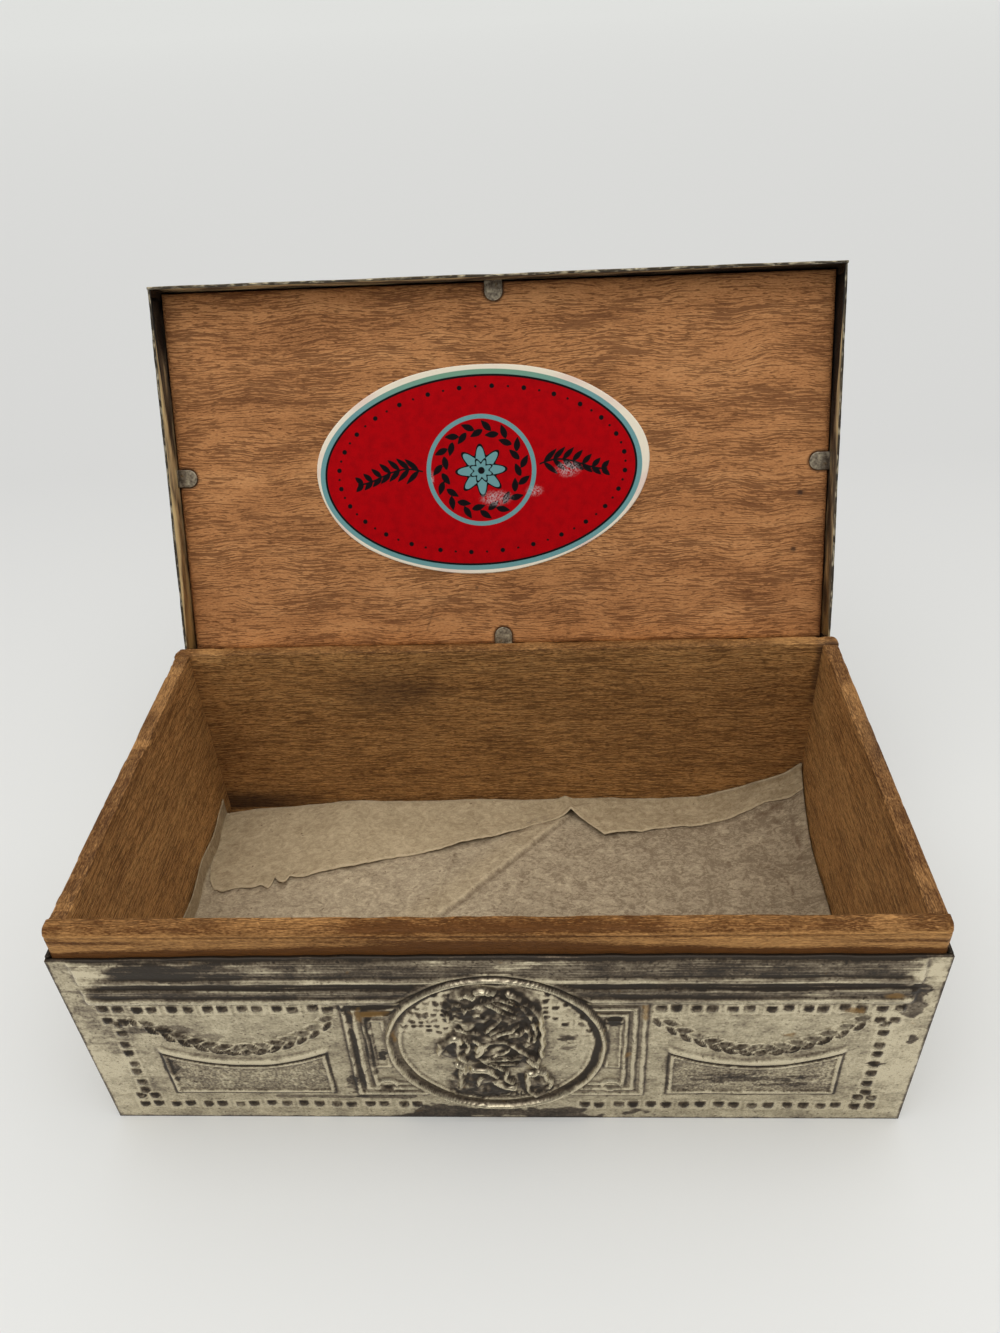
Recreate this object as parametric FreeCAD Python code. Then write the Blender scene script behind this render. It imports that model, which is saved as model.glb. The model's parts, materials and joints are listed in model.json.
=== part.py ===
import FreeCAD, Part
import os

# Plated metal box with a wooden lining. The hinged lid stands open on its stop.
# X runs along the width, the front faces -Y, Z is up. The origin is the middle of the underside.

# Metal body
BOX_WIDTH = 152.0
BOX_DEPTH = 84.0
METAL_HEIGHT = 49.5
SHEET = 0.6

# Wooden lining, whose boards stand above the metal as a collar
BOARD = 3.5
BOTTOM_BOARD = 6.4
COLLAR_HEIGHT = 5.5
COLLAR_INSET = 0.3
COLLAR_EDGE_ROUND = 1.2
COLLAR_CORNER_ROUND = 1.5
BRAD_RADIUS = 0.5
BRAD_LENGTH = 14.0
BRAD_HEIGHT_SHARES = (0.22, 0.72)

# Lid tray, its wooden panel, tabs, label and solder
LID_HEIGHT = 10.0
RIM_GAP = 0.3
PANEL_RECESS = 5.8
PANEL_END_GAP = 1.0
PANEL_SIDE_GAP = 1.2
TAB_WIDTH = 4.0
TAB_REACH = 4.2
TAB_SHEET = 0.3
TAB_FOOT = 2.0
TAB_CLEARANCE = 0.25
LABEL_LENGTH = 77.0
LABEL_WIDTH = 47.5
LABEL_PAPER = 0.2
LABEL_OFFSET = -4.0
LABEL_TILT_DEG = 2.2
SOLDER_LEG = 1.0
SOLDER_RIM_GAP = 0.5
OPEN_ANGLE_DEG = 113.0

# Hinge on the back
HINGE_LENGTH = 130.0
HINGE_DROP = 1.0
KNUCKLES = 5
KNUCKLE_GAP = 0.3
BARREL_RADIUS = 1.1
BARREL_STANDOFF = 0.15
PIN_RADIUS = 0.55
PIN_CLEARANCE = 0.05
PIN_HEAD_RADIUS = 0.85
PIN_HEAD_LENGTH = 0.6
LEAF = 0.6
LEAF_HEIGHT = 3.2
LEAF_CLEARANCE = 0.3
STOP_WIDTH = 8.0
STOP_THICKNESS = 0.9
STOP_DROP = 2.5
STOP_GAP = 0.05

# Embossed relief of the four walls
RELIEF_RISE = 0.9
RIB_SHARES = ((0.752, 0.778), (0.792, 0.802), (0.816, 0.828), (0.869, 0.885))
RIB_END_INSET = 4.2
BEAD = 1.9
BEAD_SPACING = 2.8
BEAD_PITCH = 6.3
BEAD_BORDER_INSET = 4.5
BEAD_ROW_SHARES = (0.093, 0.707)
BEAD_TOP_START = 27.4
BEAD_BOTTOM_START = 14.4
MEDALLION_RADIUS_SHARE = 0.41
MEDALLION_CENTRE_SHARE = 0.489
MEDALLION_RIM = 1.7
MEDALLION_RISE = 1.4
MEDALLION_CROWN = 1.8
RIM_TOP_SHARES = (0.3, 0.7)
PILASTER_HALF_WIDTH = 26.8
PILASTER_SHARES = (0.166, 0.739)
PILASTER_STEP = 2.6
MOULDING_STRIP = 0.9
CARTOUCHE_CENTRE = 46.9
CARTOUCHE_HALF_WIDTH = 16.0
CARTOUCHE_SHARES = (0.174, 0.444)
CARTOUCHE_SAG = 4.5
SWAG_HALF_WIDTH = 16.8
SWAG_TOP_SHARE = 0.655
SWAG_DROP = 9.2
SWAG_THICKNESS = 2.8
SIDE_CARTOUCHE_HALF_WIDTH = 21.0
SIDE_SWAG_HALF_WIDTH = 22.0

# Raised lines on the lid
LID_RIB_SHARES = ((0.68, 0.74), (0.82, 0.88))
LID_TOP_RISE = 1.0
LID_SKIRT_RISE = 0.6
LID_FRAME_INSET = 7.0
LID_OVAL_LENGTH = 92.0
LID_OVAL_WIDTH = 52.0
LID_STRIP = 2.0

# Tissue paper on the bottom board
TISSUE = 0.3
TISSUE_MARGIN = 0.4
TISSUE_LEFT_TURN_UP = 5.2
TISSUE_CORNER_RISE = 10.4
TISSUE_CORNER_START_SHARE = 0.74
REAR_FLAP_SHARES = (
    (-1.0, 0.90), (0.20, 1.0), (0.26, 0.96), (0.22, 0.85), (-0.31, 0.54),
    (-0.71, 0.32), (-0.76, 0.25), (-0.92, 0.22), (-1.0, 0.32),
)
RIGHT_FLAP_SHARES = (
    (0.31, 0.96), (0.72, 1.0), (0.95, 1.0), (0.85, 0.97), (0.60, 0.79), (0.33, 0.70),
)

# Worked out from the sizes above
HALF_WIDTH = BOX_WIDTH / 2
HALF_DEPTH = BOX_DEPTH / 2
INNER_HALF_WIDTH = HALF_WIDTH - SHEET
INNER_HALF_DEPTH = HALF_DEPTH - SHEET
CAVITY_HALF_WIDTH = INNER_HALF_WIDTH - BOARD
CAVITY_HALF_DEPTH = INNER_HALF_DEPTH - BOARD
FLOOR = SHEET + BOTTOM_BOARD
COLLAR_TOP = METAL_HEIGHT + COLLAR_HEIGHT
LID_RIM = METAL_HEIGHT + RIM_GAP
LID_TOP = LID_RIM + LID_HEIGHT
LID_PLATE = LID_TOP - SHEET
PANEL_FACE = LID_RIM + PANEL_RECESS
AXIS_Y = HALF_DEPTH + BARREL_STANDOFF + BARREL_RADIUS
AXIS_Z = METAL_HEIGHT - HINGE_DROP
LEAF_FACE = HALF_DEPTH + LEAF
LEAF_OFFSET = BARREL_RADIUS + LEAF_CLEARANCE
BEAD_ROW_BOTTOM, BEAD_ROW_TOP = (METAL_HEIGHT * share for share in BEAD_ROW_SHARES)
MEDALLION_RADIUS = METAL_HEIGHT * MEDALLION_RADIUS_SHARE
MEDALLION_HEIGHT = METAL_HEIGHT * MEDALLION_CENTRE_SHARE
PILASTER_BOTTOM, PILASTER_TOP = (METAL_HEIGHT * share for share in PILASTER_SHARES)
CARTOUCHE_BOTTOM, CARTOUCHE_TOP = (METAL_HEIGHT * share for share in CARTOUCHE_SHARES)
SWAG_TOP = METAL_HEIGHT * SWAG_TOP_SHARE

X_AXIS = FreeCAD.Vector(1, 0, 0)
Y_AXIS = FreeCAD.Vector(0, 1, 0)
Z_AXIS = FreeCAD.Vector(0, 0, 1)
ORIGIN = FreeCAD.Vector(0, 0, 0)


def block(low, high):
    """Box between its lowest and its highest corner."""
    return Part.makeBox(*(b - a for a, b in zip(low, high)), FreeCAD.Vector(*low))


def turned(shape, angle_deg):
    """Copy of a shape turned about the upright axis through the origin."""
    return shape.rotated(ORIGIN, Z_AXIS, angle_deg)


def opened(shape):
    """Copy of a closed lid's shape, swung back about the hinge to where it stands open."""
    return shape.rotated(FreeCAD.Vector(0, AXIS_Y, AXIS_Z), X_AXIS, -OPEN_ANGLE_DEG)


def prism(points, direction):
    """Solid from a closed outline of points, carried along a direction."""
    corners = [FreeCAD.Vector(*point) for point in points]
    return Part.Face(Part.makePolygon(corners + corners[:1])).extrude(direction)


def joined(base, pieces):
    """One solid from a base and the pieces that stand on it."""
    return base.multiFuse(pieces).removeSplitter()


def edges_where(shape, test):
    """Edges of a shape whose two ends and middle all pass a test."""
    found = []
    for edge in shape.Edges:
        middle = edge.valueAt((edge.FirstParameter + edge.LastParameter) / 2)
        if all(test(point) for point in [middle] + [vertex.Point for vertex in edge.Vertexes]):
            found.append(edge)
    return found


# Relief of the walls. It is laid out on the front: u is X, v is Z, and it rises towards -Y.

def raised_bar(face, u_low, u_high, v_low, v_high):
    """Flat bar that stands on a wall's face."""
    return block((u_low, -face - RELIEF_RISE, v_low), (u_high, -face, v_high))


def bead(face, u, v):
    """Square bead, centred at u and v."""
    half = BEAD / 2
    return raised_bar(face, u - half, u + half, v - half, v + half)


def pair_places(start, end):
    """Places of beads in close pairs, spread evenly from start to end."""
    pairs = max(1, round((end - start) / BEAD_PITCH))
    step = (end - start) / pairs
    middles = [start + step * (index + 1 / 2) for index in range(pairs)]
    return [middle + side * BEAD_SPACING / 2 for middle in middles for side in (-1, 1)]


def bead_border(face, half, top_start, bottom_start):
    """Bead rows along the top and bottom of a wall, and a column at each end."""
    end = half - BEAD_BORDER_INSET
    column = end - BEAD_PITCH / 2
    beads = []
    for side in (-1, 1):
        for u in pair_places(top_start, end):
            beads.append(bead(face, side * u, BEAD_ROW_TOP))
        for u in pair_places(bottom_start, end):
            beads.append(bead(face, side * u, BEAD_ROW_BOTTOM))
        for v in pair_places(BEAD_ROW_BOTTOM + BEAD_PITCH / 2, BEAD_ROW_TOP - BEAD_PITCH / 2):
            beads.append(bead(face, side * column, v))
    return beads


def ribs(face, half):
    """Level mouldings across the upper part of a wall."""
    end = half - RIB_END_INSET
    return [raised_bar(face, -end, end, METAL_HEIGHT * low, METAL_HEIGHT * high) for low, high in RIB_SHARES]


def cartouche_wire(face, half, inset):
    """Outline with straight sides and bottom and a top edge that sags, drawn in all round by an inset."""
    side = half - inset
    bottom = CARTOUCHE_BOTTOM + inset
    top = CARTOUCHE_TOP - inset
    low = FreeCAD.Vector(0, -face, top - CARTOUCHE_SAG)
    outline = ((-side, top), (-side, bottom), (side, bottom), (side, top))
    corners = [FreeCAD.Vector(u, -face, v) for u, v in outline]
    lines = [Part.LineSegment(a, b).toShape() for a, b in zip(corners, corners[1:])]
    return Part.Wire(lines + [Part.Arc(corners[3], low, corners[0]).toShape()])


def cartouche(face, centre, half):
    """Raised frame of a panel whose top edge sags."""
    rise = FreeCAD.Vector(0, -RELIEF_RISE, 0)
    outer = Part.Face(cartouche_wire(face, half, 0)).extrude(rise)
    inner = Part.Face(cartouche_wire(face, half, MOULDING_STRIP)).extrude(rise)
    frame = outer.cut(inner)
    frame.translate(FreeCAD.Vector(centre, 0, 0))
    return frame


def swag(face, centre, half):
    """Hanging garland, a crescent that is thickest in the middle."""
    left = FreeCAD.Vector(-half, -face, SWAG_TOP)
    right = FreeCAD.Vector(half, -face, SWAG_TOP)
    upper = FreeCAD.Vector(0, -face, SWAG_TOP - SWAG_DROP + SWAG_THICKNESS)
    lower = FreeCAD.Vector(0, -face, SWAG_TOP - SWAG_DROP)
    wire = Part.Wire([Part.Arc(left, upper, right).toShape(), Part.Arc(right, lower, left).toShape()])
    garland = Part.Face(wire).extrude(FreeCAD.Vector(0, -RELIEF_RISE, 0))
    garland.translate(FreeCAD.Vector(centre, 0, 0))
    return garland


def pilaster_frames(face):
    """Two nested frames that stand behind the medallion and show at its sides."""
    frames = []
    for inset in (0, PILASTER_STEP):
        side = PILASTER_HALF_WIDTH - inset
        bottom = PILASTER_BOTTOM + inset
        top = PILASTER_TOP - inset
        outer = raised_bar(face, -side, side, bottom, top)
        hole_side = side - MOULDING_STRIP
        hole = raised_bar(face, -hole_side, hole_side, bottom + MOULDING_STRIP, top - MOULDING_STRIP)
        frames.append(outer.cut(hole))
    return frames


def medallion(face):
    """Round medallion: a rim with sloped flanks round a gently swelling field."""
    inner = MEDALLION_RADIUS - MEDALLION_RIM
    tops = [inner + MEDALLION_RIM * share for share in RIM_TOP_SHARES]
    section = ((inner, 0), (MEDALLION_RADIUS, 0), (tops[1], MEDALLION_RISE), (tops[0], MEDALLION_RISE))
    points = [FreeCAD.Vector(radius, -face - rise, MEDALLION_HEIGHT) for radius, rise in section]
    centre = FreeCAD.Vector(0, -face, MEDALLION_HEIGHT)
    rim = Part.Face(Part.makePolygon(points + points[:1])).revolve(centre, Y_AXIS, 360)
    ball = (inner ** 2 + MEDALLION_CROWN ** 2) / (2 * MEDALLION_CROWN)
    sphere = Part.makeSphere(ball, FreeCAD.Vector(0, -face - MEDALLION_CROWN + ball, MEDALLION_HEIGHT))
    slab = Part.makeCylinder(MEDALLION_RADIUS, MEDALLION_CROWN, centre, -Y_AXIS)
    return [rim, sphere.common(slab)]


def long_wall():
    """Front wall with its medallion, swags, cartouches, bead border and mouldings."""
    plate = block((-HALF_WIDTH, -HALF_DEPTH, 0), (HALF_WIDTH, -INNER_HALF_DEPTH, METAL_HEIGHT))
    clearing = Part.makeCylinder(
        MEDALLION_RADIUS, RELIEF_RISE, FreeCAD.Vector(0, -HALF_DEPTH, MEDALLION_HEIGHT), -Y_AXIS)
    behind = [bar.cut(clearing) for bar in ribs(HALF_DEPTH, HALF_WIDTH) + pilaster_frames(HALF_DEPTH)]
    relief = behind + medallion(HALF_DEPTH)
    relief += bead_border(HALF_DEPTH, HALF_WIDTH, BEAD_TOP_START, BEAD_BOTTOM_START)
    for side in (-1, 1):
        relief.append(cartouche(HALF_DEPTH, side * CARTOUCHE_CENTRE, CARTOUCHE_HALF_WIDTH))
        relief.append(swag(HALF_DEPTH, side * CARTOUCHE_CENTRE, SWAG_HALF_WIDTH))
    return joined(plate, relief)


def short_wall():
    """Side wall, laid out facing the front, with one swag and one cartouche."""
    plate = block((-INNER_HALF_DEPTH, -HALF_WIDTH, 0), (INNER_HALF_DEPTH, -INNER_HALF_WIDTH, METAL_HEIGHT))
    relief = ribs(HALF_WIDTH, INNER_HALF_DEPTH)
    relief += bead_border(HALF_WIDTH, INNER_HALF_DEPTH, 0, 0)
    relief.append(cartouche(HALF_WIDTH, 0, SIDE_CARTOUCHE_HALF_WIDTH))
    relief.append(swag(HALF_WIDTH, 0, SIDE_SWAG_HALF_WIDTH))
    return joined(plate, relief)


def base_plate():
    """Bottom sheet between the four walls."""
    return block((-INNER_HALF_WIDTH, -INNER_HALF_DEPTH, 0), (INNER_HALF_WIDTH, INNER_HALF_DEPTH, SHEET))


# Wooden lining

def brads():
    """Pins driven through the long boards into the ends of the short ones."""
    pins = []
    reach = COLLAR_TOP - SHEET
    for side in (-1, 1):
        for end in (-1, 1):
            for share in BRAD_HEIGHT_SHARES:
                place = FreeCAD.Vector(
                    side * (INNER_HALF_WIDTH - BOARD / 2), end * INNER_HALF_DEPTH, SHEET + reach * share)
                pins.append(Part.makeCylinder(BRAD_RADIUS, BRAD_LENGTH, place, Y_AXIS * -end))
    return Part.makeCompound(pins)


def long_board():
    """Front board, full width inside the metal, with its collar set in and its outer edges rounded."""
    lower = block((-INNER_HALF_WIDTH, -INNER_HALF_DEPTH, SHEET),
                  (INNER_HALF_WIDTH, -CAVITY_HALF_DEPTH, METAL_HEIGHT))
    side = INNER_HALF_WIDTH - COLLAR_INSET
    front = COLLAR_INSET - INNER_HALF_DEPTH
    collar = block((-side, front, METAL_HEIGHT), (side, -CAVITY_HALF_DEPTH, COLLAR_TOP))
    near = COLLAR_CORNER_ROUND / 2
    upright = edges_where(collar, lambda point: point.y < front + near and abs(point.x) > side - near)
    collar = collar.makeFillet(COLLAR_CORNER_ROUND, upright)
    middle_y = (front - CAVITY_HALF_DEPTH) / 2
    rear = edges_where(collar, lambda point: point.y > middle_y)
    top = edges_where(collar, lambda point: point.z > COLLAR_TOP - near)
    rounded = [edge for edge in top if not any(edge.isSame(other) for other in rear)]
    return lower.fuse(collar.makeFillet(COLLAR_EDGE_ROUND, rounded))


def short_board():
    """Left board, between the long ones, with its collar set in and its outer edge rounded."""
    lower = block((-INNER_HALF_WIDTH, -CAVITY_HALF_DEPTH, SHEET),
                  (-CAVITY_HALF_WIDTH, CAVITY_HALF_DEPTH, METAL_HEIGHT))
    outside = COLLAR_INSET - INNER_HALF_WIDTH
    collar = block((outside, -CAVITY_HALF_DEPTH, METAL_HEIGHT),
                   (-CAVITY_HALF_WIDTH, CAVITY_HALF_DEPTH, COLLAR_TOP))
    near = COLLAR_EDGE_ROUND / 2
    edge = edges_where(collar, lambda point: point.x < outside + near and point.z > COLLAR_TOP - near)
    return lower.fuse(collar.makeFillet(COLLAR_EDGE_ROUND, edge))


def bottom_board():
    """Board on the base plate, inside the four upright boards."""
    return block((-CAVITY_HALF_WIDTH, -CAVITY_HALF_DEPTH, SHEET),
                 (CAVITY_HALF_WIDTH, CAVITY_HALF_DEPTH, FLOOR))


def tissue_paper():
    """Thin sheet on the bottom board, with two folded flaps, a turned-up edge and a raised corner."""
    side = CAVITY_HALF_WIDTH - TISSUE_MARGIN
    end = CAVITY_HALF_DEPTH - TISSUE_MARGIN
    layer = FLOOR + TISSUE
    sheet = block((-side, -end, FLOOR), (side, end, layer))
    up = FreeCAD.Vector(0, 0, TISSUE)
    flaps = [prism([(u * side, v * end, layer) for u, v in shares], up)
             for shares in (REAR_FLAP_SHARES, RIGHT_FLAP_SHARES)]
    left_edge = block((-side, -end, layer), (TISSUE - side, end, layer + TISSUE_LEFT_TURN_UP))
    start = side * TISSUE_CORNER_START_SHARE
    corner = prism([(start, end, layer), (side, end, layer), (side, end, layer + TISSUE_CORNER_RISE)],
                   FreeCAD.Vector(0, -TISSUE, 0))
    return joined(sheet, flaps + [left_edge, corner])


# Lid, laid out closed

def lid_top_plate():
    """Top sheet of the lid with a raised frame and a raised oval."""
    plate = block((-HALF_WIDTH, -HALF_DEPTH, LID_PLATE), (HALF_WIDTH, HALF_DEPTH, LID_TOP))
    rise = FreeCAD.Vector(0, 0, LID_TOP_RISE)
    side = HALF_WIDTH - LID_FRAME_INSET
    end = HALF_DEPTH - LID_FRAME_INSET
    outer = block((-side, -end, LID_TOP), (side, end, LID_TOP + LID_TOP_RISE))
    hole_side = side - LID_STRIP
    hole_end = end - LID_STRIP
    frame = outer.cut(block((-hole_side, -hole_end, LID_TOP), (hole_side, hole_end, LID_TOP + LID_TOP_RISE)))
    ovals = [oval_face(LID_OVAL_LENGTH - inset, LID_OVAL_WIDTH - inset, LID_TOP).extrude(rise)
             for inset in (0, LID_STRIP * 2)]
    return joined(plate, [frame, ovals[0].cut(ovals[1])])


def oval_face(length, width, height):
    """Level oval face, centred over the origin."""
    oval = Part.Ellipse(FreeCAD.Vector(0, 0, height), length / 2, width / 2)
    return Part.Face(Part.Wire(oval.toShape()))


def lid_skirt(half, face):
    """Front skirt of the lid, of the half length and face distance given, with two raised lines outside."""
    plate = block((-half, -face, LID_RIM), (half, SHEET - face, LID_PLATE))
    lines = [block((-half, -face - LID_SKIRT_RISE, LID_RIM + LID_HEIGHT * low),
                   (half, -face, LID_RIM + LID_HEIGHT * high))
             for low, high in LID_RIB_SHARES]
    return joined(plate, lines)


def tab_tongue(inside, gap, clearance):
    """Round-ended tongue from the front skirt's inner face, over the gap and the edge of the panel."""
    half = TAB_WIDTH / 2 + clearance
    end = gap + TAB_REACH - TAB_WIDTH / 2 - inside
    strip = block((-half, -inside, PANEL_FACE), (half, end, PANEL_FACE + TAB_SHEET))
    return strip.fuse(Part.makeCylinder(half, TAB_SHEET, FreeCAD.Vector(0, end, PANEL_FACE))).removeSplitter()


def retaining_tab(inside, gap):
    """Bent tab: a foot on the front skirt's inner face and a tongue that holds the panel."""
    half = TAB_WIDTH / 2
    foot = block((-half, -inside, PANEL_FACE - TAB_FOOT), (half, TAB_SHEET - inside, PANEL_FACE))
    return tab_tongue(inside, gap, 0).fuse(foot).removeSplitter()


def lid_panel():
    """Wooden panel under the top sheet, with a pocket for each tab's tongue."""
    side = INNER_HALF_WIDTH - PANEL_SIDE_GAP
    end = INNER_HALF_DEPTH - PANEL_END_GAP
    panel = block((-side, -end, PANEL_FACE), (side, end, LID_PLATE))
    long_pocket = tab_tongue(INNER_HALF_DEPTH, PANEL_END_GAP, TAB_CLEARANCE)
    short_pocket = tab_tongue(INNER_HALF_WIDTH, PANEL_SIDE_GAP, TAB_CLEARANCE)
    for pocket, angle in ((long_pocket, 0), (short_pocket, 90), (long_pocket, 180), (short_pocket, 270)):
        panel = panel.cut(turned(pocket, angle))
    return panel


def lid_label():
    """Oval paper label on the panel, a little off centre and aslant."""
    label = oval_face(LABEL_LENGTH, LABEL_WIDTH, PANEL_FACE - LABEL_PAPER).extrude(Z_AXIS * LABEL_PAPER)
    label = turned(label, LABEL_TILT_DEG * -1)
    label.translate(FreeCAD.Vector(LABEL_OFFSET, 0, 0))
    return label


def lid_solder():
    """Solder in the four inner corners of the lid."""
    fillets = []
    bottom = LID_RIM + SOLDER_RIM_GAP
    for side in (-1, 1):
        for end in (-1, 1):
            x = side * INNER_HALF_WIDTH
            y = end * INNER_HALF_DEPTH
            corners = ((x, y, bottom), (x - side * SOLDER_LEG, y, bottom), (x, y - end * SOLDER_LEG, bottom))
            fillets.append(prism(corners, Z_AXIS * (LID_PLATE - bottom)))
    return Part.makeCompound(fillets)


# Hinge

def knuckle_span(index):
    """Ends of one knuckle along the hinge."""
    step = HINGE_LENGTH / KNUCKLES
    start = step * index - HINGE_LENGTH / 2
    return start + KNUCKLE_GAP / 2, start + step - KNUCKLE_GAP / 2


def hinge_leaf(first, bore, strip_low, strip_high):
    """Soldered strip with every second knuckle from the first, each joined to the strip by a web."""
    half = HINGE_LENGTH / 2
    leaf = block((-half, HALF_DEPTH, strip_low), (half, LEAF_FACE, strip_high))
    web_low = min(strip_high, AXIS_Z)
    web_high = max(strip_low, AXIS_Z)
    pieces = []
    holes = []
    for index in range(first, KNUCKLES, 2):
        low, high = knuckle_span(index)
        place = FreeCAD.Vector(low, AXIS_Y, AXIS_Z)
        pieces.append(Part.makeCylinder(BARREL_RADIUS, high - low, place, X_AXIS))
        pieces.append(block((low, HALF_DEPTH + BARREL_STANDOFF, web_low), (high, LEAF_FACE, web_high)))
        holes.append(Part.makeCylinder(bore, high - low, place, X_AXIS))
    return joined(leaf, pieces).cut(Part.makeCompound(holes))


def hinge_base_leaf():
    """Leaf on the back wall, which grips the pin."""
    top = AXIS_Z - LEAF_OFFSET
    return hinge_leaf(0, PIN_RADIUS, top - LEAF_HEIGHT, top)


def hinge_room():
    """Space behind the back wall that its relief leaves free for the hinge."""
    half = HINGE_LENGTH / 2 + LEAF_CLEARANCE
    low = AXIS_Z - LEAF_OFFSET - LEAF_HEIGHT
    relief = max(MEDALLION_RISE, MEDALLION_CROWN, RELIEF_RISE)
    return block((-half, HALF_DEPTH, low), (half, HALF_DEPTH + relief, COLLAR_TOP))


def hinge_lid_leaf():
    """Leaf on the lid's rear skirt, swung open, with tongues that come to rest against the base leaf."""
    bottom = AXIS_Z + LEAF_OFFSET
    leaf = opened(hinge_leaf(1, PIN_RADIUS + PIN_CLEARANCE, bottom, bottom + LEAF_HEIGHT))
    tongues = []
    pin_room = Part.makeCylinder(
        PIN_RADIUS + PIN_CLEARANCE, HINGE_LENGTH, FreeCAD.Vector(-HINGE_LENGTH / 2, AXIS_Y, AXIS_Z), X_AXIS)
    for index in range(1, KNUCKLES, 2):
        middle = sum(knuckle_span(index)) / 2
        low = (middle - STOP_WIDTH / 2, LEAF_FACE + STOP_GAP, AXIS_Z - STOP_DROP)
        high = (middle + STOP_WIDTH / 2, LEAF_FACE + STOP_GAP + STOP_THICKNESS, AXIS_Z)
        tongues.append(block(low, high).cut(pin_room))
    return joined(leaf, tongues)


def hinge_pin():
    """Pin through all the knuckles, with a flat head at each end."""
    start = FreeCAD.Vector(-HINGE_LENGTH / 2, AXIS_Y, AXIS_Z)
    pin = Part.makeCylinder(PIN_RADIUS, HINGE_LENGTH, start, X_AXIS)
    left = knuckle_span(0)[0]
    heads = [Part.makeCylinder(PIN_HEAD_RADIUS, PIN_HEAD_LENGTH, FreeCAD.Vector(x, AXIS_Y, AXIS_Z), X_AXIS)
             for x in (left - PIN_HEAD_LENGTH, -left)]
    return joined(pin, heads)


def body_pieces():
    """Every piece of the body under its node's name."""
    pins = brads()
    wall = long_wall()
    side_wall = short_wall()
    board = long_board()
    side_board = short_board()
    return {
        "front_panel": wall,
        "back_panel": turned(wall, 180).cut(hinge_room()),
        "left_panel": turned(side_wall, 270),
        "right_panel": turned(side_wall, 90),
        "base_plate": base_plate(),
        "front_board": board.cut(pins),
        "back_board": turned(board, 180).cut(pins),
        "left_board": side_board.cut(pins),
        "right_board": turned(side_board, 180).cut(pins),
        "bottom_board": bottom_board(),
        "corner_brads": pins,
        "tissue_paper": tissue_paper(),
        "hinge_base_leaf": hinge_base_leaf(),
        "hinge_pin": hinge_pin(),
    }


def lid_pieces():
    """Every piece of the lid under its node's name, swung open."""
    long_skirt = lid_skirt(HALF_WIDTH, HALF_DEPTH)
    short_skirt = lid_skirt(INNER_HALF_DEPTH, HALF_WIDTH)
    long_tab = retaining_tab(INNER_HALF_DEPTH, PANEL_END_GAP)
    short_tab = retaining_tab(INNER_HALF_WIDTH, PANEL_SIDE_GAP)
    closed = {
        "lid_top_plate": lid_top_plate(),
        "lid_skirt_front": long_skirt,
        "lid_skirt_back": turned(long_skirt, 180),
        "lid_skirt_left": turned(short_skirt, 270),
        "lid_skirt_right": turned(short_skirt, 90),
        "lid_panel": lid_panel(),
        "retaining_tab_front": long_tab,
        "retaining_tab_back": turned(long_tab, 180),
        "retaining_tab_left": turned(short_tab, 270),
        "retaining_tab_right": turned(short_tab, 90),
        "lid_label": lid_label(),
        "lid_corner_solder": lid_solder(),
    }
    pieces = {name: opened(shape) for name, shape in closed.items()}
    pieces["hinge_lid_leaf"] = hinge_lid_leaf()
    return pieces


os.makedirs("parts", exist_ok=True)
for node, shape in {**body_pieces(), **lid_pieces()}.items():
    shape.exportStep(f"parts/{node}.step")
    state = "valid" if shape.isValid() else "INVALID"
    print(node, len(shape.Solids), "solids", round(shape.Volume, 2), "mm3", state)
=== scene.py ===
"""Looks of a plated metal box with a wooden lining, laid around its construction model.

Lengths inside this script are millimetres. They become metres when a mesh is made.
"""
import json
import logging
import math
from dataclasses import dataclass
from enum import Enum
from typing import Callable, Optional, Sequence, Union

import bpy
import numpy as np
from mathutils import Matrix, Vector

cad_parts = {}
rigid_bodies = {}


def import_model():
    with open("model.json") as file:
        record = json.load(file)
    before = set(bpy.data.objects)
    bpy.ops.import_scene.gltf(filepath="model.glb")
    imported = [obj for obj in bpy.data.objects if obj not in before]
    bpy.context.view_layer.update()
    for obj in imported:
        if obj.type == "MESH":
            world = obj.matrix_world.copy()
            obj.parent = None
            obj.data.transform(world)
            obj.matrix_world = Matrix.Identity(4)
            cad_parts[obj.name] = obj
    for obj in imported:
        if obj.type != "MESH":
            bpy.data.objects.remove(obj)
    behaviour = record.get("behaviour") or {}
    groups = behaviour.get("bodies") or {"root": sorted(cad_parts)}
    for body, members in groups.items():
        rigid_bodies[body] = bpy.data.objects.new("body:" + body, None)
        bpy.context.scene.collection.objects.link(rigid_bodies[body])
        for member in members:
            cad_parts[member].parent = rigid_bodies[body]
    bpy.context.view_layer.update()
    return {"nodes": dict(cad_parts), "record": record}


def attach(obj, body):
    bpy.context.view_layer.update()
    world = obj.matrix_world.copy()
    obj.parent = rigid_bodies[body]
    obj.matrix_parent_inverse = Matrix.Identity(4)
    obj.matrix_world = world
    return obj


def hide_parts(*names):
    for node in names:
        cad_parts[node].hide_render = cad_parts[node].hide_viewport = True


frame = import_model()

LOG = logging.getLogger("box")
METRES = 0.001
NOISE_MEAN = 0.5
NO_TRIANGLES = np.zeros((0, 3), int)
ORIGIN = (0, 0, 0)
EAST, NORTH, UP = (1, 0, 0), (0, 1, 0), (0, 0, 1)
WEST, SOUTH, DOWN = (-1, 0, 0), (0, -1, 0), (0, 0, -1)
Array = np.ndarray
Point = tuple[float, float]
Placing = Callable[[Array], Array]
Node = bpy.types.NodeSocket
Socket = Union[Node, float, Sequence[float]]


# Number fields

def ramp(value: Array, low: float, high: float) -> Array:
    """Smooth step from 0 at low to 1 at high: 3t^2 - 2t^3 of the clipped share t."""
    share = np.clip((value - low) / (high - low), 0, 1)
    return share * share * (3 - 2 * share)


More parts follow.
